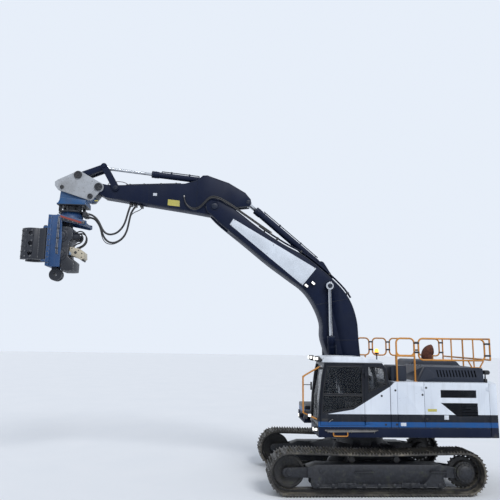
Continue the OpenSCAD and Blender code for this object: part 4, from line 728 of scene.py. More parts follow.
plastic = coat("black_plastic", (0.012, 0.012, 0.014), (0.04, 0.04, 0.04), wear=0.78, rough=0.5,
               grime=(0.05, 0.05, 0.05), dust=0.2)
white_film = coat("white_film", (0.66, 0.70, 0.76), (0.35, 0.36, 0.38), wear=0.72, rough=0.35,
                  grime=(0.2, 0.2, 0.2), dust=0.25)
yellow_film = coat("yellow_film", (0.52, 0.46, 0.10), (0.35, 0.34, 0.30), wear=0.68, rough=0.4,
                   grime=(0.2, 0.2, 0.15), dust=0.3)
SIDE = 1.490
locks = [(-0.459, 2.295, "house"), (-0.134, 2.168, "house"), (-0.214, 1.532, "house"),
         (-0.473, 1.538, "house"),
         (-1.100, 2.20, "door_front"), (-1.190, 2.36, "door_rear"), (-1.190, 1.66, "door_rear")]
for body in ("house", "door_front", "door_rear"):
    forms = []
    for x, z, carrier in locks:
        if carrier == body:
            # A lock's bezel with its sunk barrel
            forms.append(turned([(0, 0.024), (0.004, 0.024), (0.007, 0.019), (0.003, 0.014), (0.003, 0)],
                                (x, SIDE, z),
                                (x, 2, z)))
            forms.append(block((x - 0.003, SIDE, z - 0.010), (x + 0.003, SIDE + 0.005, z + 0.010),
                               0.001))
    to_piece(joined(forms), body + "_locks", plastic, body)
for name, low, high, look, body in (
        ("stripe_square", (-0.690, 1.502), (-0.563, 1.575), white_film, "door_front"),
        ("band_square", (-1.699, 1.650), (-1.593, 1.746), white_film, "door_rear"),
        ("yellow_blank", (-1.423, 1.826), (-1.210, 1.886), yellow_film, "door_rear")):
    to_piece(block((low[0], SIDE + 0.0002, low[1]), (high[0], SIDE + 0.002, high[1]), 0.0008), name,
             look, body)
# Tread strip under the cab door, scuffed pale
tread_mud = cast_mud("tread_mud", (0.05, 0.05, 0.055), 0.30, 0.50, (0.24, 0.23, 0.22))
forms = [plate([(-0.022, 1.404), (0.080, 1.374), (1.080, 1.362), (1.200, 1.396), (1.200, 1.416),
                (-0.022, 1.416)], 1.520, 1.528),
         block((-0.022, 1.486, 1.404), (1.200, 1.528, 1.416), 0.003)]
forms += [block((x, 1.492, 1.414), (x + 0.012, 1.526, 1.422), 0.002)
          for x in [0.02 + 0.045 * i for i in range(26)]]
forms += [plate([(x, 1.405), (x + 0.012, 1.405), (x + 0.012, 1.345)], 1.487, 1.526)
          for x in (0.05, 0.58, 1.12)]
to_piece(joined(forms), "door_tread", tread_mud, "house")
# Right side: paddle latches on the door, treads on the tanks' steps and two filler caps
forms = []
for x, z in ((-1.32, 2.05), (-1.32, 1.70)):
    forms.append(block((x - 0.07, -1.497, z - 0.045), (x + 0.07, -1.489, z + 0.045), 0.006))
    forms.append(block((x - 0.05, -1.503, z - 0.025), (x + 0.03, -1.495, z + 0.025), 0.004))
to_piece(joined(forms), "right_latches", plastic, "door_right")
forms = []
for x0, x1, z in ((0.33, 0.71, 1.98), (0.81, 1.27, 1.68), (-0.40, 0.23, 2.38)):
    forms.append(block((x0, -1.42, z), (x1, -0.55, z + 0.004), 0.001))
    forms += [block((x0 + 0.02 + 0.04 * i, -1.40, z + 0.003), (x0 + 0.032 + 0.04 * i, -0.57, z + 0.007),
                    0.001)
              for i in range(int((x1 - x0 - 0.03) / 0.04))]
for x, y, z in ((-0.20, -0.62, 2.386), (0.52, -0.66, 1.986)):
    forms.append(turned([(0, 0.075), (0.018, 0.075), (0.022, 0.070), (0.022, 0.050), (0.045, 0.046),
                         (0.052, 0.036), (0.052, 0)],
                        (x, y, z), (x, y, 3)))
to_piece(joined(forms), "tank_treads", plastic, "house")
# Keeper plates of the boom's foot pin and the boom cylinders' base pins
pin_caps([(0.150, 0.305, 1.970)], "foot_pin_caps", navy_worn, "house", 0.085)
pin_caps([(0.750, 0.451, 1.500)], "cylinder_pin_caps", navy_worn, "house", 0.066)
# Catches and grips of the hood
forms = [block((-1.40 - 0.5 * i, 1.169, 2.560), (-1.30 - 0.5 * i, 1.176, 2.600), 0.002)
         for i in range(2)]
for y in (0.25, 0.85):
    forms.append(tube(smooth_line([(-1.30, y - 0.08, 2.826), (-1.30, y - 0.07, 2.855), (-1.30, y, 2.862),
                                   (-1.30, y + 0.07, 2.855),
                                   (-1.30, y + 0.08, 2.826)], 4), 0.008, sides=10))
to_piece(joined(forms), "hood_grips", plastic, "hood")
# Work camera on a stalk behind the cover
forms = [tube([(-2.750, 1.25, 2.44), (-2.750, 1.25, 2.69)], 0.016, sides=12),
         block((-2.835, 1.20, 2.660), (-2.720, 1.30, 2.760), 0.014),
         block((-2.785, 1.215, 2.47), (-2.715, 1.285, 2.56), 0.01),
         turned([(0, 0.030), (0.020, 0.034), (0.024, 0.026), (0.020, 0.018), (0.022, 0)],
                (-2.835, 1.25, 2.71), (-4, 1.25, 2.71))]
to_piece(joined(forms), "rear_camera", plastic, "house")

# ---- Guard rails
# Orange-yellow round tube bent into loops and clamped together with black clips, standing on flanged
# posts all round the top of the house.
rail_paint = coat("rail_paint", (0.56, 0.23, 0.030), (0.13, 0.07, 0.04), wear=0.66, rough=0.40,
                  dust=0.22)
RAIL_R = 0.021
LEFT_RAILS = [(-1.038, -0.599, 3.077, 3.487, ()), (-2.776, -1.144, 2.984, 3.490, (-1.954, -2.494))]
RIGHT_RAILS = [(-0.717, -0.364, 3.003, 3.485, ()), (-1.220, -0.818, 3.003, 3.485, ()),
               (-2.048, -1.321, 3.003, 3.485, ()), (-2.802, -2.191, 3.003, 3.485, ())]
LEFT_Y, RIGHT_Y, REAR_X, ROOF_TOP = 1.240, -1.390, -2.910, 2.480


def loop_line(x0, x1, z0, z1, y, bend=0.11):
    """The middle line of a rail bent into a rectangle with round corners."""
    line = []
    for cx, cz, start in ((x1 - bend, z1 - bend, 0), (x0 + bend, z1 - bend, 90),
                          (x0 + bend, z0 + bend, 180), (x1 - bend, z0 + bend, 270)):
        for k in range(7):
            a = math.radians(start + 15 * k)
            line.append((cx + bend * math.cos(a), y, cz + bend * math.sin(a)))
    return line


rails, clips = [], []


def clip(x0, x1, y, z):
    """A black two-part clamp round two rails, with its bolts."""
    clips.append(block((x0, y - 0.026, z - 0.022), (x1, y - 0.001, z + 0.022), 0.006))
    clips.append(block((x0, y + 0.001, z - 0.022), (x1, y + 0.026, z + 0.022), 0.006))
    clips.append(bolts([(0.5 * (x0 + x1), y + 0.026, z)], (0, 1, 0), 0.007, 0.008))


def post(x, y, foot, top):
    """A post with a flange that four bolts hold."""
    rails.append(tube([(x, y, foot), (x, y, top)], RAIL_R))
    rails.append(turned([(0.0, 0.045), (0.010, 0.045), (0.012, 0.043), (0.012, 0.030), (0.022, 0.021)],
                        (x, y, foot), (x, y, 9)))
    clips.append(bolts([(x + a, y + b, foot + 0.012) for a in (-0.024, 0.024) for b in (-0.024, 0.024)],
                       (0, 0, 1), 0.005, 0.006))


for rows, y in ((LEFT_RAILS, LEFT_Y), (RIGHT_RAILS, RIGHT_Y)):
    for x0, x1, z0, z1, uprights in rows:
        rails.append(tube(loop_line(x0, x1, z0, z1, y), RAIL_R, closed=True))
        rails += [tube([(x, y, z0), (x, y, z1)], 0.017, sides=12) for x in uprights]
    for one, two in zip(rows, rows[1:]):
        for z in (3.160, 3.380):
            clip(two[1] - 0.015, one[0] + 0.015, y, z)
for x in (-1.038, -0.599):
    post(x, LEFT_Y, ROOF_TOP, 3.300)
rails.append(block((-1.055, LEFT_Y - 0.030, 3.052), (-0.582, LEFT_Y + 0.030, 3.102), 0.014, 3))
for x in (-0.600, -1.500, -2.600):
    post(x, RIGHT_Y, ROOF_TOP, 3.010)
post(-0.364, RIGHT_Y, 2.380, 3.200)
for one, two in ((-2.352, -2.440), (-2.740, -2.640), (-2.494, -2.500)):
    rails.append(tube([(one, LEFT_Y, 2.984), (two, LEFT_Y, 2.824)], 0.017, sides=12))
rails.append(block((-2.670, LEFT_Y - 0.040, 2.816), (-2.400, LEFT_Y + 0.040, 2.830), 0.003))
for z in (3.000, 3.498):
    rails.append(tube([(REAR_X, RIGHT_Y, z), (REAR_X, LEFT_Y, z)], RAIL_R))
post(REAR_X, -0.150, 2.460, 3.498)
post(REAR_X, RIGHT_Y, 2.460, 3.498)
rails.append(tube([(REAR_X, LEFT_Y, 3.000), (REAR_X, LEFT_Y, 3.498)], RAIL_R))
for z in (3.100, 3.380):
    clip(REAR_X - 0.010, LEFT_RAILS[1][0] + 0.015, LEFT_Y, z)
    clip(REAR_X - 0.010, RIGHT_RAILS[3][0] + 0.015, RIGHT_Y, z)
step = [(0.680, 1.506, 1.372), (0.680, 1.506, 1.300), (0.686, 1.506, 1.283), (0.704, 1.506, 1.276),
        (0.980, 1.506, 1.276),
        (0.998, 1.506, 1.283), (1.004, 1.506, 1.300), (1.004, 1.506, 1.372)]
rails.append(tube(step, 0.014, sides=12))
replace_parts(to_piece(joined(rails), "rail_tubes", rail_paint, "house"), "guard_rails")
to_piece(joined(clips), "rail_clamps", plastic, "house")

# ---- Cab
# A hollow frame of rolled posts in near-black paint under a white roof pan. Tinted panes are bonded in,
# and the door on the left side shares the house's swept white and dark paint.
cab_paint = livery("cab_paint", swept_line=True, face_y=1.486, rough=0.3, dirt=0.8)
softened("cab_frame", 0.010, cab_paint, segments=3)
softened("cab_door", 0.005, cab_paint)
roof_white = coat("roof_white", WHITE, (0.35, 0.36, 0.37), wear=0.74, rough=0.36,
                  grime=(0.25, 0.24, 0.22), dust=0.3)
softened("cab_roof", 0.018, roof_white, segments=4)
pane, tree, shader = fresh("tinted_glass")
shader.inputs["Alpha"].default_value = 0.30
shader.inputs["Specular IOR Level"].default_value = 0.4
film = speckle(tree, 2.5, low=0.45, high=0.8)
finish_with(tree, shader, mixed(tree, film, (0.012, 0.016, 0.022), (0.035, 0.040, 0.045)),
            maths(tree, "MULTIPLY_ADD", film, 0.10, 0.03))
for node in ("cab_glass", "cab_door_glass"):
    painted(node, pane)
softened("work_lamps", 0.006, plastic)
amber, tree, shader = fresh("amber_lens")
ribs = add(tree, "TexWave", {"bands_direction": "Z"}, Vector=placed(tree), Scale=45.0).outputs[0]
shader.inputs["Emission Strength"].default_value = 2.2
shader.inputs["Emission Color"].default_value = (1.0, 0.36, 0.04, 1)
finish_with(tree, shader, mixed(tree, ribs, (0.9, 0.32, 0.02), (1.0, 0.5, 0.08)), 0.25, ribs, 0.002)
at = Vector((-0.872, -1.180, ROOF_TOP))
dome = [(0.600, 0.030), (0.602, 0.058), (0.620, 0.058), (0.640, 0.056), (0.670, 0.050), (0.694, 0.038),
        (0.706, 0.018), (0.708, 0)]
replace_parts(to_piece(turned(dome, at, at + Vector((0, 0, 1)), 32), "beacon_dome", amber, "house"),
            "beacon")
pole = [(0, 0.045), (0.010, 0.045), (0.012, 0.018), (0.555, 0.016), (0.556, 0.055), (0.562, 0.061),
        (0.598, 0.061), (0.603, 0.056), (0.603, 0)]
to_piece(turned(pole, at, at + Vector((0, 0, 1)), 32), "beacon_pole", plastic, "house")

# Lit lamps: a bright lens behind ribs, one per housing
lit, tree, shader = fresh("lit_lens")
cells = add(tree, "TexVoronoi", Vector=placed(tree), Scale=90.0).outputs[0]
shader.inputs["Emission Strength"].default_value = 1.2
shader.inputs["Emission Color"].default_value = (1.0, 0.97, 0.90, 1)
finish_with(tree, shader, mixed(tree, cells, (1.0, 0.98, 0.92), (0.85, 0.86, 0.88)), 0.2, cells, 0.001)
forms = []
for y in (0.615, 1.360):
    forms.append(block((1.400, y - 0.062, 2.948), (1.418, y + 0.062, 3.032), 0.008, 3))
    forms.append(block((1.335, y + 0.070, 2.960), (1.395, y + 0.079, 3.020), 0.004, 3))
for y in (1.305, -0.835):
    forms.append(block((1.424, y - 0.050, 1.362), (1.438, y + 0.050, 1.438), 0.006, 3))
forms.append(block((1.350, 1.364, 1.372), (1.415, 1.376, 1.430), 0.004, 3))
to_piece(joined(forms), "lamp_lenses", lit, "house")

# Thin bent tube in front of the left post, its mirror and the small lamp at its low end
GUARD_Y = 1.460
bar = [(1.290, 2.800), (1.350, 2.782), (1.640, 2.615), (1.680, 2.580), (1.693, 2.530), (1.690, 1.850),
       (1.684, 1.800), (1.655, 1.768),
       (1.400, 1.650), (1.352, 1.640)]
guard_tube = to_piece(tube(smooth_line([(x, GUARD_Y, z) for x, z in bar], 5), 0.019, sides=14),
                      "guard_tube", rail_paint, "house")
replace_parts(guard_tube, "cab_guard")
forms = [block((1.345, 1.430, 1.600), (1.372, 1.490, 1.680), 0.006),
         block((1.232, 1.432, 2.745), (1.320, 1.488, 2.805), 0.010),
         tube([(1.688, 1.462, 2.402), (1.600, 1.470, 2.402), (1.512, 1.486, 2.402)], 0.009, sides=10),
         block((1.490, 1.484, 2.290), (1.530, 1.510, 2.470), 0.012, 3),
         block((1.520, 1.425, 1.778), (1.660, 1.495, 1.838), 0.010),
         block((1.505, 1.432, 1.690), (1.590, 1.488, 1.765), 0.012),
         block((1.590, 1.430, 1.650), (1.675, 1.490, 1.740), 0.010, turn=0.35)]
to_piece(joined(forms), "guard_fittings", plastic, "house")
to_piece(block((1.515, 1.486, 1.700), (1.580, 1.494, 1.755), 0.006, 3), "guard_lamp", lit, "house")

# Rubber gaskets round the panes, the wiper, the door's grip and its dark recess
PANE_FACE = 1.489
DOOR_PANE = [(1.240, 1.790), (1.010, 1.830), (0.530, 1.905), (0.325, 2.020), (0.325, 2.815),
             (1.120, 2.815), (1.170, 2.600), (1.226, 2.230)]
SIDE_PANE = [(0.170, 2.250), (0.170, 2.815), (-0.140, 2.815), (-0.205, 2.720), (-0.262, 2.420)]
gasket = cast_mud("gasket_rubber", (0.010, 0.010, 0.011), 0.66, 0.84, (0.05, 0.05, 0.05))
forms = [tube([(x, PANE_FACE, z) for x, z in DOOR_PANE], 0.008, closed=True, sides=8)]
forms += [tube([(0.325, PANE_FACE, z), (1.229, PANE_FACE, z)], 0.007, sides=8) for z in (2.165, 2.205)]
to_piece(joined(forms), "door_gasket", gasket, "cab_door")
forms = [tube([(x, PANE_FACE, z) for x, z in SIDE_PANE], 0.008, closed=True, sides=8)]
front = [(1.326, 1.562), (1.300, 2.100), (1.184, 2.828)]
loop = [(x, 0.557, z) for x, z in front] + [(x, 1.418, z) for x, z in front[::-1]]
forms.append(tube(loop, 0.009, closed=True, sides=8))
forms.append(tube([(1.352, 0.985, 1.585), (1.338, 0.900, 1.850), (1.316, 0.820, 2.120)], 0.007, sides=8))
forms.append(tube([(1.352, 0.700, 1.760), (1.330, 0.810, 2.090), (1.280, 0.925, 2.430)], 0.006, sides=8))
forms.append(turned([(0, 0.030), (0.020, 0.030), (0.026, 0.020), (0.026, 0)], (1.330, 0.985, 1.585),
                    (2, 0.985, 1.585)))
to_piece(joined(forms), "cab_gaskets", gasket, "house")
to_piece(block((1.130, 1.488, 1.590), (1.270, 1.493, 1.655), 0.002), "door_recess", plastic, "cab_door")
grip = smooth_line([(1.105, 1.488, 1.578), (1.100, 1.516, 1.590), (1.080, 1.522, 1.612),
                    (1.050, 1.522, 1.634), (1.022, 1.516, 1.640),
                    (1.015, 1.488, 1.639)], 4)
to_piece(tube(grip, 0.008, sides=10), "door_grip", steel, "cab_door")

# Chair: crowned cushions on a sprung base, consoles with levers, pedals and the display
MID_Y, FLOOR_Z = 0.9875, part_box("operator_seat")[0][2]
forms = [block((0.10, MID_Y - 0.20, FLOOR_Z), (0.54, MID_Y + 0.20, FLOOR_Z + 0.05), 0.01),
         block((0.09, MID_Y - 0.21, FLOOR_Z + 0.24), (0.55, MID_Y + 0.21, FLOOR_Z + 0.315), 0.02, 3)]
for k in range(6):
    forms.append(block((0.13 + 0.004 * (k % 2), MID_Y - 0.17, FLOOR_Z + 0.05 + 0.032 * k),
                       (0.51 - 0.004 * (k % 2), MID_Y + 0.17, FLOOR_Z + 0.080 + 0.032 * k), 0.012, 3))
for s in (-1, 1):
    y = MID_Y + s * 0.330
    forms.append(block((0.18, y - 0.055, FLOOR_Z), (0.66, y + 0.055, FLOOR_Z + 0.50), 0.02, 3))
    forms.append(block((0.16, y - 0.060, FLOOR_Z + 0.50), (0.70, y + 0.060, FLOOR_Z + 0.60), 0.025, 3))
    forms.append(tube(smooth_line([(0.62, y, FLOOR_Z + 0.59), (0.63, y, FLOOR_Z + 0.66),
                                   (0.62, y - s * 0.01, FLOOR_Z + 0.70)], 4), 0.010, sides=10))
    forms.append(turned([(0, 0.012), (0.01, 0.022), (0.05, 0.026), (0.09, 0.024), (0.115, 0.014),
                         (0.12, 0)],
                        (0.62, y - s * 0.01, FLOOR_Z + 0.68), (0.60, y - s * 0.02, FLOOR_Z + 0.80)))
forms.append(block((1.06, 0.600, FLOOR_Z + 0.62), (1.085, 0.800, FLOOR_Z + 0.76), 0.008))
forms.append(tube([(1.07, 0.70, FLOOR_Z + 0.64), (1.12, 0.66, FLOOR_Z + 0.30),
                   (1.18, 0.60, FLOOR_Z + 0.02)], 0.012, sides=10))
for y in (0.90, 1.08):
    forms.append(tube([(1.10, y, FLOOR_Z + 0.01), (1.02, y, FLOOR_Z + 0.26)], 0.010, sides=10))
    forms.append(block((1.04, y - 0.045, FLOOR_Z + 0.02), (1.22, y + 0.045, FLOOR_Z + 0.045), 0.006,
                       turn=0.3))
seat_base = to_piece(joined(forms), "seat_base", plastic, "house")
fabric, tree, shader = fresh("seat_fabric")
weave_a = add(tree, "TexWave", {"bands_direction": "X"}, Vector=placed(tree), Scale=160.0,
              Distortion=0.6).outputs[0]
weave_b = add(tree, "TexWave", {"bands_direction": "Y"}, Vector=placed(tree), Scale=160.0,
              Distortion=0.6).outputs[0]
weave = maths(tree, "MULTIPLY", weave_a, weave_b)
cloth = mixed(tree, weave, (0.022, 0.022, 0.026), (0.070, 0.072, 0.080))
shader.inputs["Sheen Weight"].default_value = 0.3
finish_with(tree, shader, mixed(tree, speckle(tree, 3, low=0.5, high=0.8), cloth, (0.09, 0.085, 0.075)),
            0.88, weave, 0.0008)
PAD_VOXEL, PAD_PRESSURE, PAD_FRAMES, SEAM_DEPTH, SEAM_WIDTH = 0.010, 4.0, 20, 0.010, 0.007


def cushion(name, centre, size, lean, cap):
    """A stuffed pad: a remeshed form swollen by cloth pressure, with a sewn channel along each side."""
    form = bmesh.new()
    bmesh.ops.create_cube(form, size=1, matrix=Matrix.Diagonal((*size, 1)))
    bmesh.ops.bevel(form, geom=form.edges[:], offset=0.22 * min(size), segments=3, profile=0.5,
                    affect="EDGES", material=-1)
    mesh = bpy.data.meshes.new(name)
    form.to_mesh(mesh)
    form.free()
    holder = bpy.data.objects.new(name, mesh)
    bpy.context.scene.collection.objects.link(holder)
    remesh = holder.modifiers.new("remesh", "REMESH")
    remesh.mode = "VOXEL"
    remesh.voxel_size = PAD_VOXEL
    start = bpy.data.meshes.new_from_object(holder.evaluated_get(bpy.context.evaluated_depsgraph_get()))
    holder.modifiers.clear()
    holder.data = start
    rest = [v.co.copy() for v in start.vertices]
    puff = holder.modifiers.new("puff", "CLOTH")
    puff.settings.use_pressure = True
    puff.settings.uniform_pressure_force = PAD_PRESSURE
    puff.settings.effector_weights.gravity = 0
    for number in range(1, PAD_FRAMES + 1):
        bpy.context.scene.frame_set(number)
    shaped = holder.evaluated_get(bpy.context.evaluated_depsgraph_get()).to_mesh()
    swollen = [v.co.copy() for v in shaped.vertices]
    holder.modifiers.clear()
    bpy.context.scene.frame_set(1)
    half = [0.5 * v for v in size]
    for vert, old, new in zip(start.vertices, rest, swollen):
        move = new - old
        if move.length > cap:
            move *= cap / move.length
        at = old + move
        # Sewn channels: two along the pad, one round its rim
        for line_y in (-0.5 * half[1], 0.5 * half[1]):
            if old.z > 0:
                at.z -= SEAM_DEPTH * math.exp(-((old.y - line_y) / SEAM_WIDTH) ** 2)
        at *= 0.985 if abs(old.z) < SEAM_WIDTH else 1.0
        vert.co = at
    place = Matrix.Translation(Vector(centre)) @ Matrix.Rotation(lean, 4, "Y")
    start.transform(place)
    start.shade_smooth()
    bpy.data.objects.remove(holder)
    pad = piece(name, start, fabric, "house")
    finer = pad.modifiers.new("finer", "SUBSURF")
    finer.levels = finer.render_levels = 1


BACK_LEAN = -1.42
cushion("seat_cushion", (0.325, MID_Y, FLOOR_Z + 0.380), (0.48, 0.46, 0.105), 0.0, 0.016)
cushion("back_cushion", (0.075, MID_Y, FLOOR_Z + 0.690), (0.50, 0.44, 0.095), BACK_LEAN, 0.016)
cushion("head_cushion", (0.020, MID_Y, FLOOR_Z + 1.005), (0.13, 0.24, 0.075), BACK_LEAN, 0.010)
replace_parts(seat_base, "operator_seat")

# ---- Boom and its cylinders
# A long bent box of navy plate with welded seams. Chromed rods work in dark barrels at each side, oil
# pipes run in clamps along its back, and two lamps light the blank white sign on each flank.
sign_white = coat("sign_white", (0.70, 0.75, 0.82), (0.5, 0.5, 0.5), wear=0.8, rough=0.3,
                  grime=(0.3, 0.3, 0.3), dust=0.15)
softened("boom", 0.012, navy, worn=navy_worn)
softened("boom_signs", 0.001, sign_white)
softened("boom_lamps", 0.006, plastic)
chrome, tree, shader = fresh("chrome_rod")
shader.inputs["Metallic"].default_value = 1.0
film = speckle(tree, 12, stretch=(0.3, 1, 0.3), low=0.5, high=0.8)
finish_with(tree, shader, mixed(tree, film, (0.58, 0.60, 0.63), (0.30, 0.31, 0.32)),
            maths(tree, "MULTIPLY_ADD", film, 0.3, 0.10))
for node in ("boom_barrels", "arm_barrel", "tool_barrel"):
    softened(node, 0.004, navy)
for node in ("boom_rods", "arm_rod", "tool_rod"):
    softened(node, 0.004, chrome)

BOOM_ROWS = [(-0.005, 2.010, 0.300, 1.930), (-0.020, 2.700, 0.680, 2.640), (0.035, 3.426, 0.968, 3.411),
             (0.078, 3.960, 0.990, 3.857), (0.263, 4.489, 1.171, 4.309), (0.643, 4.945, 1.450, 4.690),
             (1.386, 5.562, 1.850, 4.985), (2.022, 5.908, 2.412, 5.388), (2.690, 6.338, 3.043, 5.896),
             (3.334, 6.827, 3.687, 6.400), (3.720, 7.066, 3.960, 6.660)]


def along_boom(share, y):
    """A smooth line along the boom's flank: share 0 is its back edge and 1 its belly."""
    rows = [((1 - share) * tx + share * lx, y, (1 - share) * tz + share * lz) for tx, tz, lx,
            lz in BOOM_ROWS]
    return smooth_line(rows, 4)


# Weld beads beside the flange edges and over the butt joints of the flank plates
weld = coat("weld_bead", (0.009, 0.014, 0.030), (0.08, 0.08, 0.08), wear=0.62, rough=0.5,
            grime=(0.03, 0.034, 0.045), dust=0.2,
            gloss=0.25)
forms = []
FLANK_Y = 0.2515
for y in (-FLANK_Y, FLANK_Y):
    for share in (0.035, 0.965):
        forms.append(tube(along_boom(share, y)[6:], 0.005, sides=6))
    for tx, tz, lx, lz in (BOOM_ROWS[2], BOOM_ROWS[4]):
        forms.append(tube([(tx + 0.04 * (lx - tx), y, tz + 0.04 * (lz - tz)),
                           (lx + 0.04 * (tx - lx), y, lz + 0.04 * (tz - lz))],
                          0.006, sides=6))
    # Round reinforcing plates of the pins through the flank
    for x, z, radius in ((0.810, 4.800, 0.150), (3.850, 6.870, 0.120)):
        forms.append(tube(ring_of(40, radius, (x, y, z)), 0.006, closed=True, sides=6))
to_piece(joined(forms), "boom_welds", weld, "boom")
pin_caps([(3.850, 0.272, 6.870)], "boom_tip_caps", navy_worn, "boom", 0.080)
pin_caps([(0.810, 0.442, 4.800)], "rod_eye_caps", navy_worn, "boom", 0.062)

# Oil pipes along the back, in clamps
pipes, clamps = [], []
back_line = along_boom(0.0, 0.0)
inner = back_line[16:33]
outwards = []
for i, at in enumerate(inner):
    before, after = inner[max(i - 1, 0)], inner[min(i + 1, len(inner) - 1)]
    run = (after - before).normalized()
    outwards.append(Vector((-run.z, 0, run.x)))
for y in (-0.200, -0.140, 0.140, 0.200):
    pipes.append(tube([at + 0.062 * out + Vector((0, y, 0)) for at, out in zip(inner, outwards)], 0.0168,
                      sides=12))
for i in (1, 5, 9, 13, 15):
    at, out = inner[i], outwards[i]
    turn = math.atan2(out.x, out.z)
    for y in (-0.170, 0.170):
        centre = at + 0.053 * out + Vector((0, y, 0))
        clamps.append(block(centre - Vector((0.024, 0.054, 0.031)),
                            centre + Vector((0.024, 0.054, 0.031)), 0.005, turn=-turn))
        clamps.append(bolts([centre + 0.031 * out + Vector((0, d, 0)) for d in (-0.03, 0.0, 0.03)], out,
                            0.007, 0.008))
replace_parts(to_piece(joined(pipes), "oil_pipes", navy, "boom"), "boom_pipes")
to_piece(joined(clamps), "pipe_clamps", plastic, "boom")

# Two hoses carry the oil from the pipes' ends over the tip to the stick's flank
TIP_HOSE = [
    (2.306, 0.200, 6.165), (2.576, 0.205, 6.343), (2.846, 0.215, 6.524), (3.090, 0.235, 6.684),
            (3.318, 0.262, 6.834),
    (3.509, 0.285, 6.948), (3.668, 0.290, 7.034), (3.818, 0.290, 7.084), (3.940, 0.290, 7.086),
            (4.038, 0.285, 7.024),
    (4.146, 0.270, 6.904), (4.262, 0.250, 6.802), (4.375, 0.235, 6.764), (4.493, 0.222, 6.802),
            (4.592, 0.210, 6.900),
    (4.651, 0.198, 7.027), (4.667, 0.186, 7.157)
]
for number, (shift, rise) in enumerate(((0.0, 0.0), (-0.052, 0.050))):
    line = smooth_line([(x, y + shift, z + rise * (1 if k < 12 else (16 - k) / 4)) for k,
                        (x, y, z) in enumerate(TIP_HOSE)])
    name = "tip_hose_%d" % (number + 1)
    hose = to_piece(tube(line, 0.017, sides=12), name, rubber, None)
    ends = [turned([(0, 0.018), (0.003, 0.023), (0.048, 0.023), (0.052, 0.018)], a, b) for a,
            b in ((line[0], line[2]), (line[-1], line[-3]))]
    first, last = to_piece(ends[0], name + "_start", steel, "boom"), to_piece(ends[1], name + "_end",
                                                                              steel, "stick")
    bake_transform(hose)

# Lamps beside the boom: a row of lit cells on each face
LAMP_FACE, LAMP_TILT = 0.3375, math.radians(40)
forms = []
for x, z in ((1.230, 4.870), (1.410, 4.800)):
    for s in (-1, 1):
        forms.append(side_block(s, (x - 0.045, 0.327, z - 0.026), (x + 0.045, LAMP_FACE, z + 0.026),
                                0.004,
                                turn=LAMP_TILT))
        for d in (-0.024, 0.0, 0.024):
            centre = Vector((x, s * LAMP_FACE, z)) + Vector((d * math.cos(LAMP_TILT), 0,
                                                             d * math.sin(LAMP_TILT)))
            forms.append(turned([(0, 0.011), (0.002, 0.011), (0.0035, 0.006), (0.004, 0)], centre,
                                centre + Vector((0, s, 0)), 12))
to_piece(joined(forms), "boom_lamp_lenses", lit, "boom")
SIGN = [(3.342, 6.540), (3.435, 6.386), (1.497, 4.817), (1.138, 5.264)]
forms = []
middle = Vector((sum(p[0] for p in SIGN) / 4, sum(p[1] for p in SIGN) / 4))
for s in (-1, 1):
    spots = []
    for a, b in zip(SIGN, SIGN[1:] + SIGN[:1]):
        for t in (0.0, 0.5) if (Vector(a) - Vector(b)).length > 1 else (0.0,):
            at = Vector(a).lerp(Vector(b), t)
            at = at + 0.045 * (middle - at).normalized()
            spots.append((at.x, s * 0.2578, at.y))
    forms.append(bolts(spots, (0, s, 0), 0.008, 0.008))
to_piece(joined(forms), "sign_bolts", steel, "boom")


def barrel_fittings(base, eye, length, radius, y):
    """The gland's ring of bolts, the two ports and a rigid oil pipe along a cylinder's barrel."""
    start, end = Vector((base[0], y, base[1])), Vector((eye[0], y, eye[1]))
    run = (end - start).normalized()
    over = Vector((-run.z, 0, run.x))
    tip = start + length * run
    forms = []
    for k in range(8):
        a = math.tau * k / 8
        out = (math.cos(a) * over + math.sin(a) * Vector((0, 1, 0))) * (radius + 0.0125)
        forms.append(bolts([tip - 0.10 * run + out], out, 0.008, 0.009))
    forms.append(turned([(0, radius + 0.012), (0.008, radius + 0.015), (0.024, radius + 0.015),
                         (0.032, radius + 0.012)],
                        tip - 0.04 * run, tip + run))
    line = [start + 0.26 * run + over * (radius - 0.004), start + 0.26 * run + over * (radius + 0.022),
            start + 0.33 * run + over * (radius + 0.030),
            start + (length - 0.34) * run + over * (radius + 0.030),
            start + (length - 0.27) * run + over * (radius + 0.026),
            start + (length - 0.25) * run + over * (radius - 0.004)]
    forms.append(tube(smooth_line(line, 3), 0.013, sides=10))
    for share in (0.34, 0.66):
        at = start + share * length * run + over * (radius + 0.014)
        turn = math.atan2(over.x, over.z)
        forms.append(block(at - Vector((0.022, 0.026, 0.036)), at + Vector((0.022, 0.026, 0.036)), 0.004,
                           turn=-turn))
    for share in (0.20, 0.86):
        forms.append(turned([(0, radius + 0.001), (0.002, radius + 0.005), (0.010, radius + 0.005),
                             (0.012, radius + 0.001)],
                            start + share * length * run, start + length * run))
    return forms


for name, node, base, eye, length, radius, places in (
        ("boom", "boom_barrels", (0.750, 1.500), (0.810, 4.800), 2.020, 0.092, (0.365, -0.365)),
        ("arm", "arm_barrel", (0.980, 5.380), (2.950, 7.030), 2.300, 0.092, (0.0,)),
        ("tool", "tool_barrel", (4.050, 7.620), (6.820, 7.890), 1.525, 0.080, (0.0,))):
    forms = [form for y in places for form in barrel_fittings(base, eye, length, radius, y)]
    to_piece(joined(forms), name + "_barrel_fittings", navy_worn, frame["nodes"][node]["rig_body"])

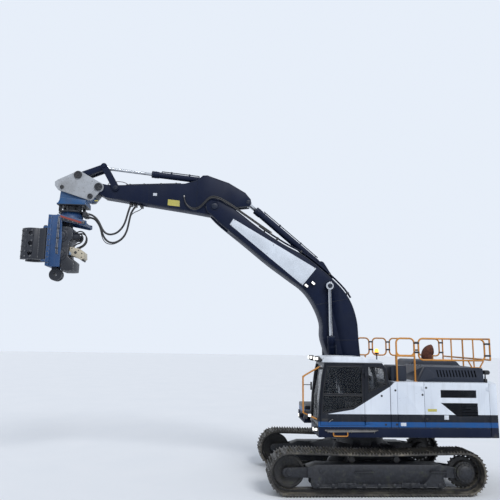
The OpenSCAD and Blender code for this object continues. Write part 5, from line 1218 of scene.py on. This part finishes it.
# ---- Stick and tool linkage
# A tapering navy box with a tall heel. Its pins, the guide links and the forged link to the coupler are
# thick plate, rubbed bare where they work.
for node, width in (("stick", 0.010), ("guide_links", 0.008), ("h_link", 0.012)):
    softened(node, width, navy, worn=navy_worn)
STICK_TOP = [(4.330, 7.600), (4.659, 7.494), (5.600, 7.438), (6.400, 7.390)]
STICK_UNDER = [(4.330, 6.705), (4.659, 6.754), (5.600, 6.883), (6.400, 6.995)]
HEEL = [(4.190, 7.735), (4.060, 7.745), (3.990, 7.717), (3.483, 7.550), (3.033, 7.290), (2.882, 7.110)]
STICK_FLANK = 0.1695
forms = []
for y in (-STICK_FLANK, STICK_FLANK):
    forms.append(tube([(x, y, z - 0.022) for x, z in STICK_TOP], 0.004, sides=6))
    forms.append(tube([(x, y, z + 0.022) for x, z in STICK_UNDER], 0.004, sides=6))
    forms.append(tube([(x + 0.006, y, z - 0.026) for x, z in HEEL], 0.004, sides=6))
    for one, two in (((5.600, 7.42), (5.600, 6.90)), ((4.330, 7.57), (4.330, 6.72))):
        forms.append(tube([(one[0], y, one[1]), (two[0], y, two[1])], 0.004, sides=6))
to_piece(joined(forms), "stick_welds", weld, "stick")
pin_caps([(6.480, 0.228, 7.300), (2.950, 0.172, 7.030)], "stick_pin_caps", navy_worn, "stick", 0.058)
# Steel oil line in brackets along the stick's top, and blocks of unions
forms, holders = [], []
for y in (-0.075, 0.075):
    line = [(4.760, y, 7.480), (4.785, y, 7.505), (4.850, y, 7.513), (5.600, y, 7.470),
            (6.180, y, 7.434), (6.230, y, 7.424), (6.250, y, 7.390)]
    forms.append(tube(smooth_line(line, 3), 0.012, sides=10))
for x, z in ((4.90, 7.478), (5.30, 7.455), (5.75, 7.428), (6.12, 7.406)):
    holders.append(block((x - 0.022, -0.110, z - 0.004), (x + 0.022, 0.110, z + 0.048), 0.005))
    holders.append(bolts([(x, d, z + 0.048) for d in (-0.02, 0.02)], (0, 0, 1), 0.007, 0.008))
for x, z in ((6.080, 6.950), (5.965, 6.932), (5.800, 6.908)):
    holders.append(block((x - 0.035, -0.15, z - 0.075), (x + 0.035, 0.10, z - 0.015), 0.006))
to_piece(joined(forms), "stick_lines", navy_worn, "stick")
to_piece(joined(holders), "stick_line_clamps", plastic, "stick")
# Thin hose that bows over the stick between the guide links
arc = smooth_line([(6.700, 0.095, 7.384), (6.696, 0.095, 7.425), (6.668, 0.095, 7.462),
                   (6.610, 0.095, 7.486), (6.520, 0.095, 7.498),
                   (6.400, 0.095, 7.503), (6.290, 0.095, 7.488), (6.215, 0.095, 7.455),
                   (6.168, 0.095, 7.415), (6.156, 0.095, 7.385)], 5)
arc_hose = to_piece(tube(arc, 0.009, sides=10), "stick_arc_hose", rubber, "stick")
nuts = [turned([(0, 0.010), (0.003, 0.014), (0.024, 0.014), (0.027, 0.010)], a, b) for a,
        b in ((arc[0], arc[2]), (arc[-1], arc[-3]))]
nuts = to_piece(joined(nuts), "stick_arc_nuts", steel, "stick")
label = plate([(5.092, 7.039), (4.784, 7.013), (4.778, 6.849), (5.096, 6.877)], 0.1702, 0.1722)
to_piece(label, "stick_label", yellow_film, "stick")
to_piece(block((5.390, 0.1702, 7.125), (5.490, 0.1722, 7.198), 0.0008), "stick_small_label", white_film,
         "stick")

# ---- Coupler and yoke
# The quick coupler is a grey-white casting with big pins, scuffed all over. Under it hangs a welded blue
# yoke with the dark drum of the rotator.
coupler_grey = coat("coupler_grey", (0.40, 0.42, 0.45), (0.12, 0.11, 0.10), wear=0.62, rough=0.5,
                    dust=0.45)
softened("coupler", 0.010, coupler_grey)
head_blue = coat("head_blue", (0.008, 0.055, 0.17), (0.22, 0.22, 0.23), wear=0.67, rough=0.42, dust=0.22,
                 grain=1.4)
blue_worn = coat("blue_worn_edge", (0.05, 0.11, 0.23), (0.30, 0.30, 0.31), wear=0.55, rough=0.4,
                 dust=0.2)
yoke_blue = coat("yoke_blue", (0.006, 0.070, 0.20), (0.22, 0.22, 0.23), wear=0.67, rough=0.42, dust=0.22,
                 grain=1.4)
yoke_worn = coat("yoke_worn_edge", (0.05, 0.12, 0.25), (0.30, 0.30, 0.31), wear=0.55, rough=0.4,
                 dust=0.2)
for look in (yoke_blue, yoke_worn):
    # The rotator under the yoke's plate is dark
    tree = look.node_tree
    shader = tree.nodes["Principled BSDF"]
    above_it = shader.inputs["Base Color"].links[0].from_socket
    height = add(tree, "SeparateXYZ", Vector=add(tree, "TexCoord").outputs["Object"]).outputs[2]
    greasy = mixed(tree, speckle(tree, 14, low=0.45, high=0.75), (0.007, 0.009, 0.014),
                   (0.055, 0.055, 0.06))
    tree.links.new(mixed(tree, maths(tree, "LESS_THAN", height, 6.800), above_it, greasy),
                   shader.inputs["Base Color"])
softened("yoke", 0.008, yoke_blue, worn=yoke_worn)
boss_dark = coat("boss_dark", (0.014, 0.016, 0.022), (0.14, 0.14, 0.14), wear=0.60, rough=0.42, dust=0.3)
forms = []
for x, y, z, radius in ((7.470, 0.241, 7.615, 0.105), (6.920, 0.246, 7.300, 0.105),
                        (7.120, 0.236, 7.040, 0.070)):
    for s in (-1, 1):
        at = Vector((x, s * y, z))
        forms.append(turned([(-0.004, radius), (0.010, radius), (0.016, radius - 0.008),
                             (0.016, 0.55 * radius), (0.006, 0.50 * radius),
                             (0.006, 0.30 * radius), (0.014, 0.26 * radius), (0.014, 0)], at,
                            at + Vector((0, s, 0)), 32))
        forms.append(bolts(ring_of(6, 0.78 * radius, (x, s * (y + 0.016), z)), (0, s, 0), 0.009, 0.008))
to_piece(joined(forms), "coupler_bosses", boss_dark, "coupler")
pin_caps([(7.860, 0.2365, 7.270)], "yoke_pin_caps", boss_dark, "coupler", 0.052)
COUPLER_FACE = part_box("coupler")[1][1]
latch = block((6.905, COUPLER_FACE - 0.004, 6.905), (6.995, COUPLER_FACE + 0.003, 6.935), 0.003)
to_piece(latch, "coupler_latch", yellow_film, "coupler")

# ---- Pile driving head
# Tall blue guide plates carry a dark vibrator, its valve box and two hinged jaws that close to a ring.
# All of it is welded plate and castings, with a round clamp bolted on below.
softened("head_frame", 0.006, head_blue, angle=40, worn=blue_worn)
head_dark = coat("head_dark", (0.010, 0.013, 0.022), (0.12, 0.12, 0.13), wear=0.67, rough=0.45,
                 grime=(0.04, 0.04, 0.042), dust=0.3)
dark_worn = coat("dark_worn_edge", (0.035, 0.040, 0.052), (0.22, 0.22, 0.22), wear=0.56, rough=0.4,
                 dust=0.3)
for node, width in (("vibrator", 0.015), ("bottom_clamp", 0.008), ("jaw_left", 0.008),
                    ("jaw_right", 0.008)):
    softened(node, width, head_dark, worn=dark_worn)
beige = coat("valve_beige", (0.56, 0.50, 0.38), (0.2, 0.18, 0.15), wear=0.66, rough=0.5, dust=0.3)
softened("valve_box", 0.012, beige, segments=3)

# Bolts down both guide plates
GUIDE_FACE, CHEEK_FACE = 0.3725, 0.3342
forms = []
for s in (-1, 1):
    forms.append(bolts([(8.052, s * GUIDE_FACE, 5.24 + 0.145 * k) for k in range(9)], (0, s, 0), 0.012,
                       0.010))
to_piece(joined(forms), "guide_bolts", dark_worn, "head")
bare_edge, tree, shader = fresh("bare_edge")
shader.inputs["Metallic"].default_value = 0.85
scored = speckle(tree, 40, stretch=(1, 1, 0.15), low=0.4, high=0.7)
finish_with(tree, shader, mixed(tree, scored, (0.55, 0.55, 0.56), (0.26, 0.25, 0.25)),
            maths(tree, "MULTIPLY_ADD", scored, 0.3, 0.25), scored, 0.0006)
forms = [side_block(s, (8.0945, 0.315, 5.190), (8.0965, 0.368, 6.460), 0.001) for s in (-1, 1)]
to_piece(joined(forms), "guide_wear_faces", bare_edge, "head")
red_film = coat("red_film", (0.30, 0.030, 0.018), (0.10, 0.06, 0.06), wear=0.60, rough=0.45, dust=0.35)
forms = [plate([(7.822, 6.486), (7.822, 6.440), (7.218, 6.262), (7.218, 6.318)],
               *sorted((s * CHEEK_FACE, s * 0.3360))) for s in (-1, 1)]
to_piece(joined(forms), "head_red_bands", red_film, "head")
# Under the bands: a dark cover on each cheek, a valve block at the arm's tip, steel pipes on the guide
COVER_FACE, VALVE_FACE, PIPE_Y = 0.3440, 0.3750, 0.352
forms, bright = [], []
for s in (-1, 1):
    forms.append(plate([(7.772, 6.424), (7.290, 6.276), (7.290, 6.254), (7.762, 6.340)],
                       *sorted((s * CHEEK_FACE, s * COVER_FACE)), 0.002))
    forms.append(side_block(s, (7.175, CHEEK_FACE, 6.262), (7.255, VALVE_FACE, 6.345), 0.008))
    bright.append(bolts([(7.195 + 0.04 * k, s * VALVE_FACE, 6.285 + 0.036 * j) for k in (0, 1)
                         for j in (0, 1)],
                        (0, s, 0), 0.009, 0.010))
    bright.append(bolts([(7.36 + 0.12 * k, s * COVER_FACE, 6.286 + 0.032 * k) for k in range(4)],
                        (0, s, 0), 0.009, 0.009))
    for x in (7.800, 7.834):
        line = [(x, s * PIPE_Y, 6.455), (x + 0.012, s * PIPE_Y, 6.380), (x + 0.015, s * PIPE_Y, 6.200),
                (x + 0.015, s * PIPE_Y, 5.560), (x, s * PIPE_Y, 5.500), (x, s * 0.336, 5.470)]
        bright.append(tube(smooth_line(line, 3), 0.009, sides=10))
    for z in (5.62, 5.88, 6.14):
        forms.append(side_block(s, (7.795, CHEEK_FACE, z - 0.014), (7.870, 0.3640, z + 0.014), 0.004))
to_piece(joined(forms), "head_covers", head_dark, "head")
to_piece(joined(bright), "head_pipes", steel, "head")

# Vibrator: two round covers with bolts and fins, dampers, and the hoses that feed its motors
vibro_body = frame["nodes"]["vibrator"]["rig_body"]
forms = []
for s in (-1, 1):
    for z in (5.480, 5.960):
        at = Vector((7.765, s * 0.280, z))
        forms.append(turned([(0, 0.170), (0.014, 0.170), (0.020, 0.160), (0.020, 0.118), (0.036, 0.110),
                             (0.044, 0.096), (0.044, 0)],
                            at, at + Vector((0, s, 0)), 36))
        forms.append(bolts(ring_of(12, 0.143, (7.765, s * 0.300, z), 0.2), (0, s, 0), 0.011))
        forms.append(bolts(ring_of(3, 0.060, (7.765, s * 0.324, z), 0.9), (0, s, 0), 0.012))
    for z in (5.700, 6.140):
        forms.append(side_block(s, (7.600, 0.279, z - 0.012), (7.930, 0.288, z + 0.012), 0.004))
for s in (-1, 1):
    at = Vector((7.350, s * 0.150, 5.960))
    forms.append(turned([(0, 0.078), (-0.004, 0.078), (-0.012, 0.070), (-0.012, 0.030), (-0.030, 0.026),
                         (-0.030, 0)],
                        at, at + Vector((1, 0, 0)), 28))
    forms.append(bolts([(7.338, s * 0.150 + 0.052 * math.cos(a), 5.960 + 0.052 * math.sin(a))
                        for a in [0.4 + math.tau * k / 6 for k in range(6)]],
                       (-1, 0, 0), 0.009, 0.010))
to_piece(joined(forms), "vibrator_covers", head_dark, vibro_body)
outer_loop = smooth_line([(7.490, 0.10, 6.010), (7.420, 0.10, 6.085), (7.325, 0.10, 6.115),
                          (7.235, 0.10, 6.070), (7.180, 0.10, 5.975),
                          (7.180, 0.10, 5.860), (7.235, 0.10, 5.765), (7.320, 0.10, 5.705),
                          (7.400, 0.10, 5.672)], 5)
inner_loop = smooth_line([(7.490, 0.06, 6.050), (7.400, 0.06, 6.060), (7.315, 0.06, 6.035),
                          (7.270, 0.06, 5.950), (7.285, 0.06, 5.870),
                          (7.340, 0.06, 5.810), (7.420, 0.06, 5.780), (7.500, 0.06, 5.700)], 5)
third_loop = smooth_line([(7.490, -0.08, 6.030), (7.400, -0.09, 6.090), (7.290, -0.10, 6.080),
                          (7.215, -0.10, 5.990), (7.210, -0.10, 5.870),
                          (7.270, -0.10, 5.770), (7.350, -0.10, 5.715), (7.420, -0.10, 5.672)], 5)
for number, line in enumerate((outer_loop, inner_loop, third_loop)):
    name = "motor_hose_%d" % (number + 1)
    hose = to_piece(tube(line, 0.017, sides=12), name, rubber, vibro_body)
    ends = [turned([(0, 0.018), (0.003, 0.023), (0.042, 0.023), (0.046, 0.018)], a, b) for a,
            b in ((line[0], line[2]), (line[-1], line[-3]))]
    ends = to_piece(joined(ends), name + "_ferrules", steel, vibro_body)

# Valve box: spool caps, lid screws and a hanging bracket beside it
forms = []
for y in (-0.12, -0.04, 0.04, 0.12):
    forms.append(turned([(0, 0.026), (0.022, 0.026), (0.026, 0.020), (0.040, 0.018), (0.044, 0.012),
                         (0.044, 0)],
                        (7.236, y, 5.375), (7.15, y, 5.20)))
for s in (-1, 1):
    for x, z in ((7.500, 5.650), (7.330, 5.600), (7.240, 5.520), (7.245, 5.425), (7.520, 5.510)):
        forms.append(bolts([(x, s * 0.180, z)], (0, s, 0), 0.010))
    forms.append(turned([(0, 0.034), (0.012, 0.034), (0.016, 0.026), (0.016, 0)],
                        (7.400, s * 0.180, 5.545), (7.400, s, 5.545)))
to_piece(joined(forms), "valve_fittings", boss_dark, frame["nodes"]["valve_box"]["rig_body"])
pale_blue = coat("pale_blue", (0.20, 0.33, 0.50), (0.4, 0.4, 0.4), wear=0.6, rough=0.45, dust=0.3)
forms = []
for s in (-1, 1):
    y0, y1 = sorted((s * 0.181, s * 0.193))
    forms.append(plate([(7.745, 5.745), (7.700, 5.755), (7.500, 5.510), (7.515, 5.470), (7.560, 5.480)],
                       y0, y1, 0.002))
to_piece(joined(forms), "pale_brackets", pale_blue, vibro_body)

# Jaws: rows of stud heads round the outside and capped hinge pins
HINGE_X, HINGE_Y, HINGE_TOP = 8.175, 0.262, 6.199
RING_X, JAW_R = 8.510, 0.3330
for side, node in ((1, "jaw_left"), (-1, "jaw_right")):
    body = frame["nodes"][node]["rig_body"]
    forms = []
    at = Vector((HINGE_X, side * HINGE_Y, HINGE_TOP))
    forms.append(turned([(0, 0.050), (0.008, 0.050), (0.012, 0.044), (0.012, 0.018), (0.026, 0.018),
                         (0.026, 0)], at, at + Vector((0, 0, 1))))
    forms.append(bolts([(HINGE_X + 0.034 * math.cos(a), side * HINGE_Y + 0.034 * math.sin(a),
                         HINGE_TOP + 0.012) for a in (0.5, 2.6, 4.7)], (0, 0, 1), 0.007, 0.007))
    for degrees in (45, 70, 95):
        out = Vector((math.cos(math.radians(degrees)), side * math.sin(math.radians(degrees)), 0))
        middle = Vector((RING_X, 0, 0)) + JAW_R * out
        forms.append(bolts([middle + Vector((0, 0, z))
                            for z in (5.400, 5.530, 5.660, 5.810, 5.940, 6.070)], out, 0.021, 0.022))
    to_piece(joined(forms), node + "_hinge_cap", dark_worn, body)
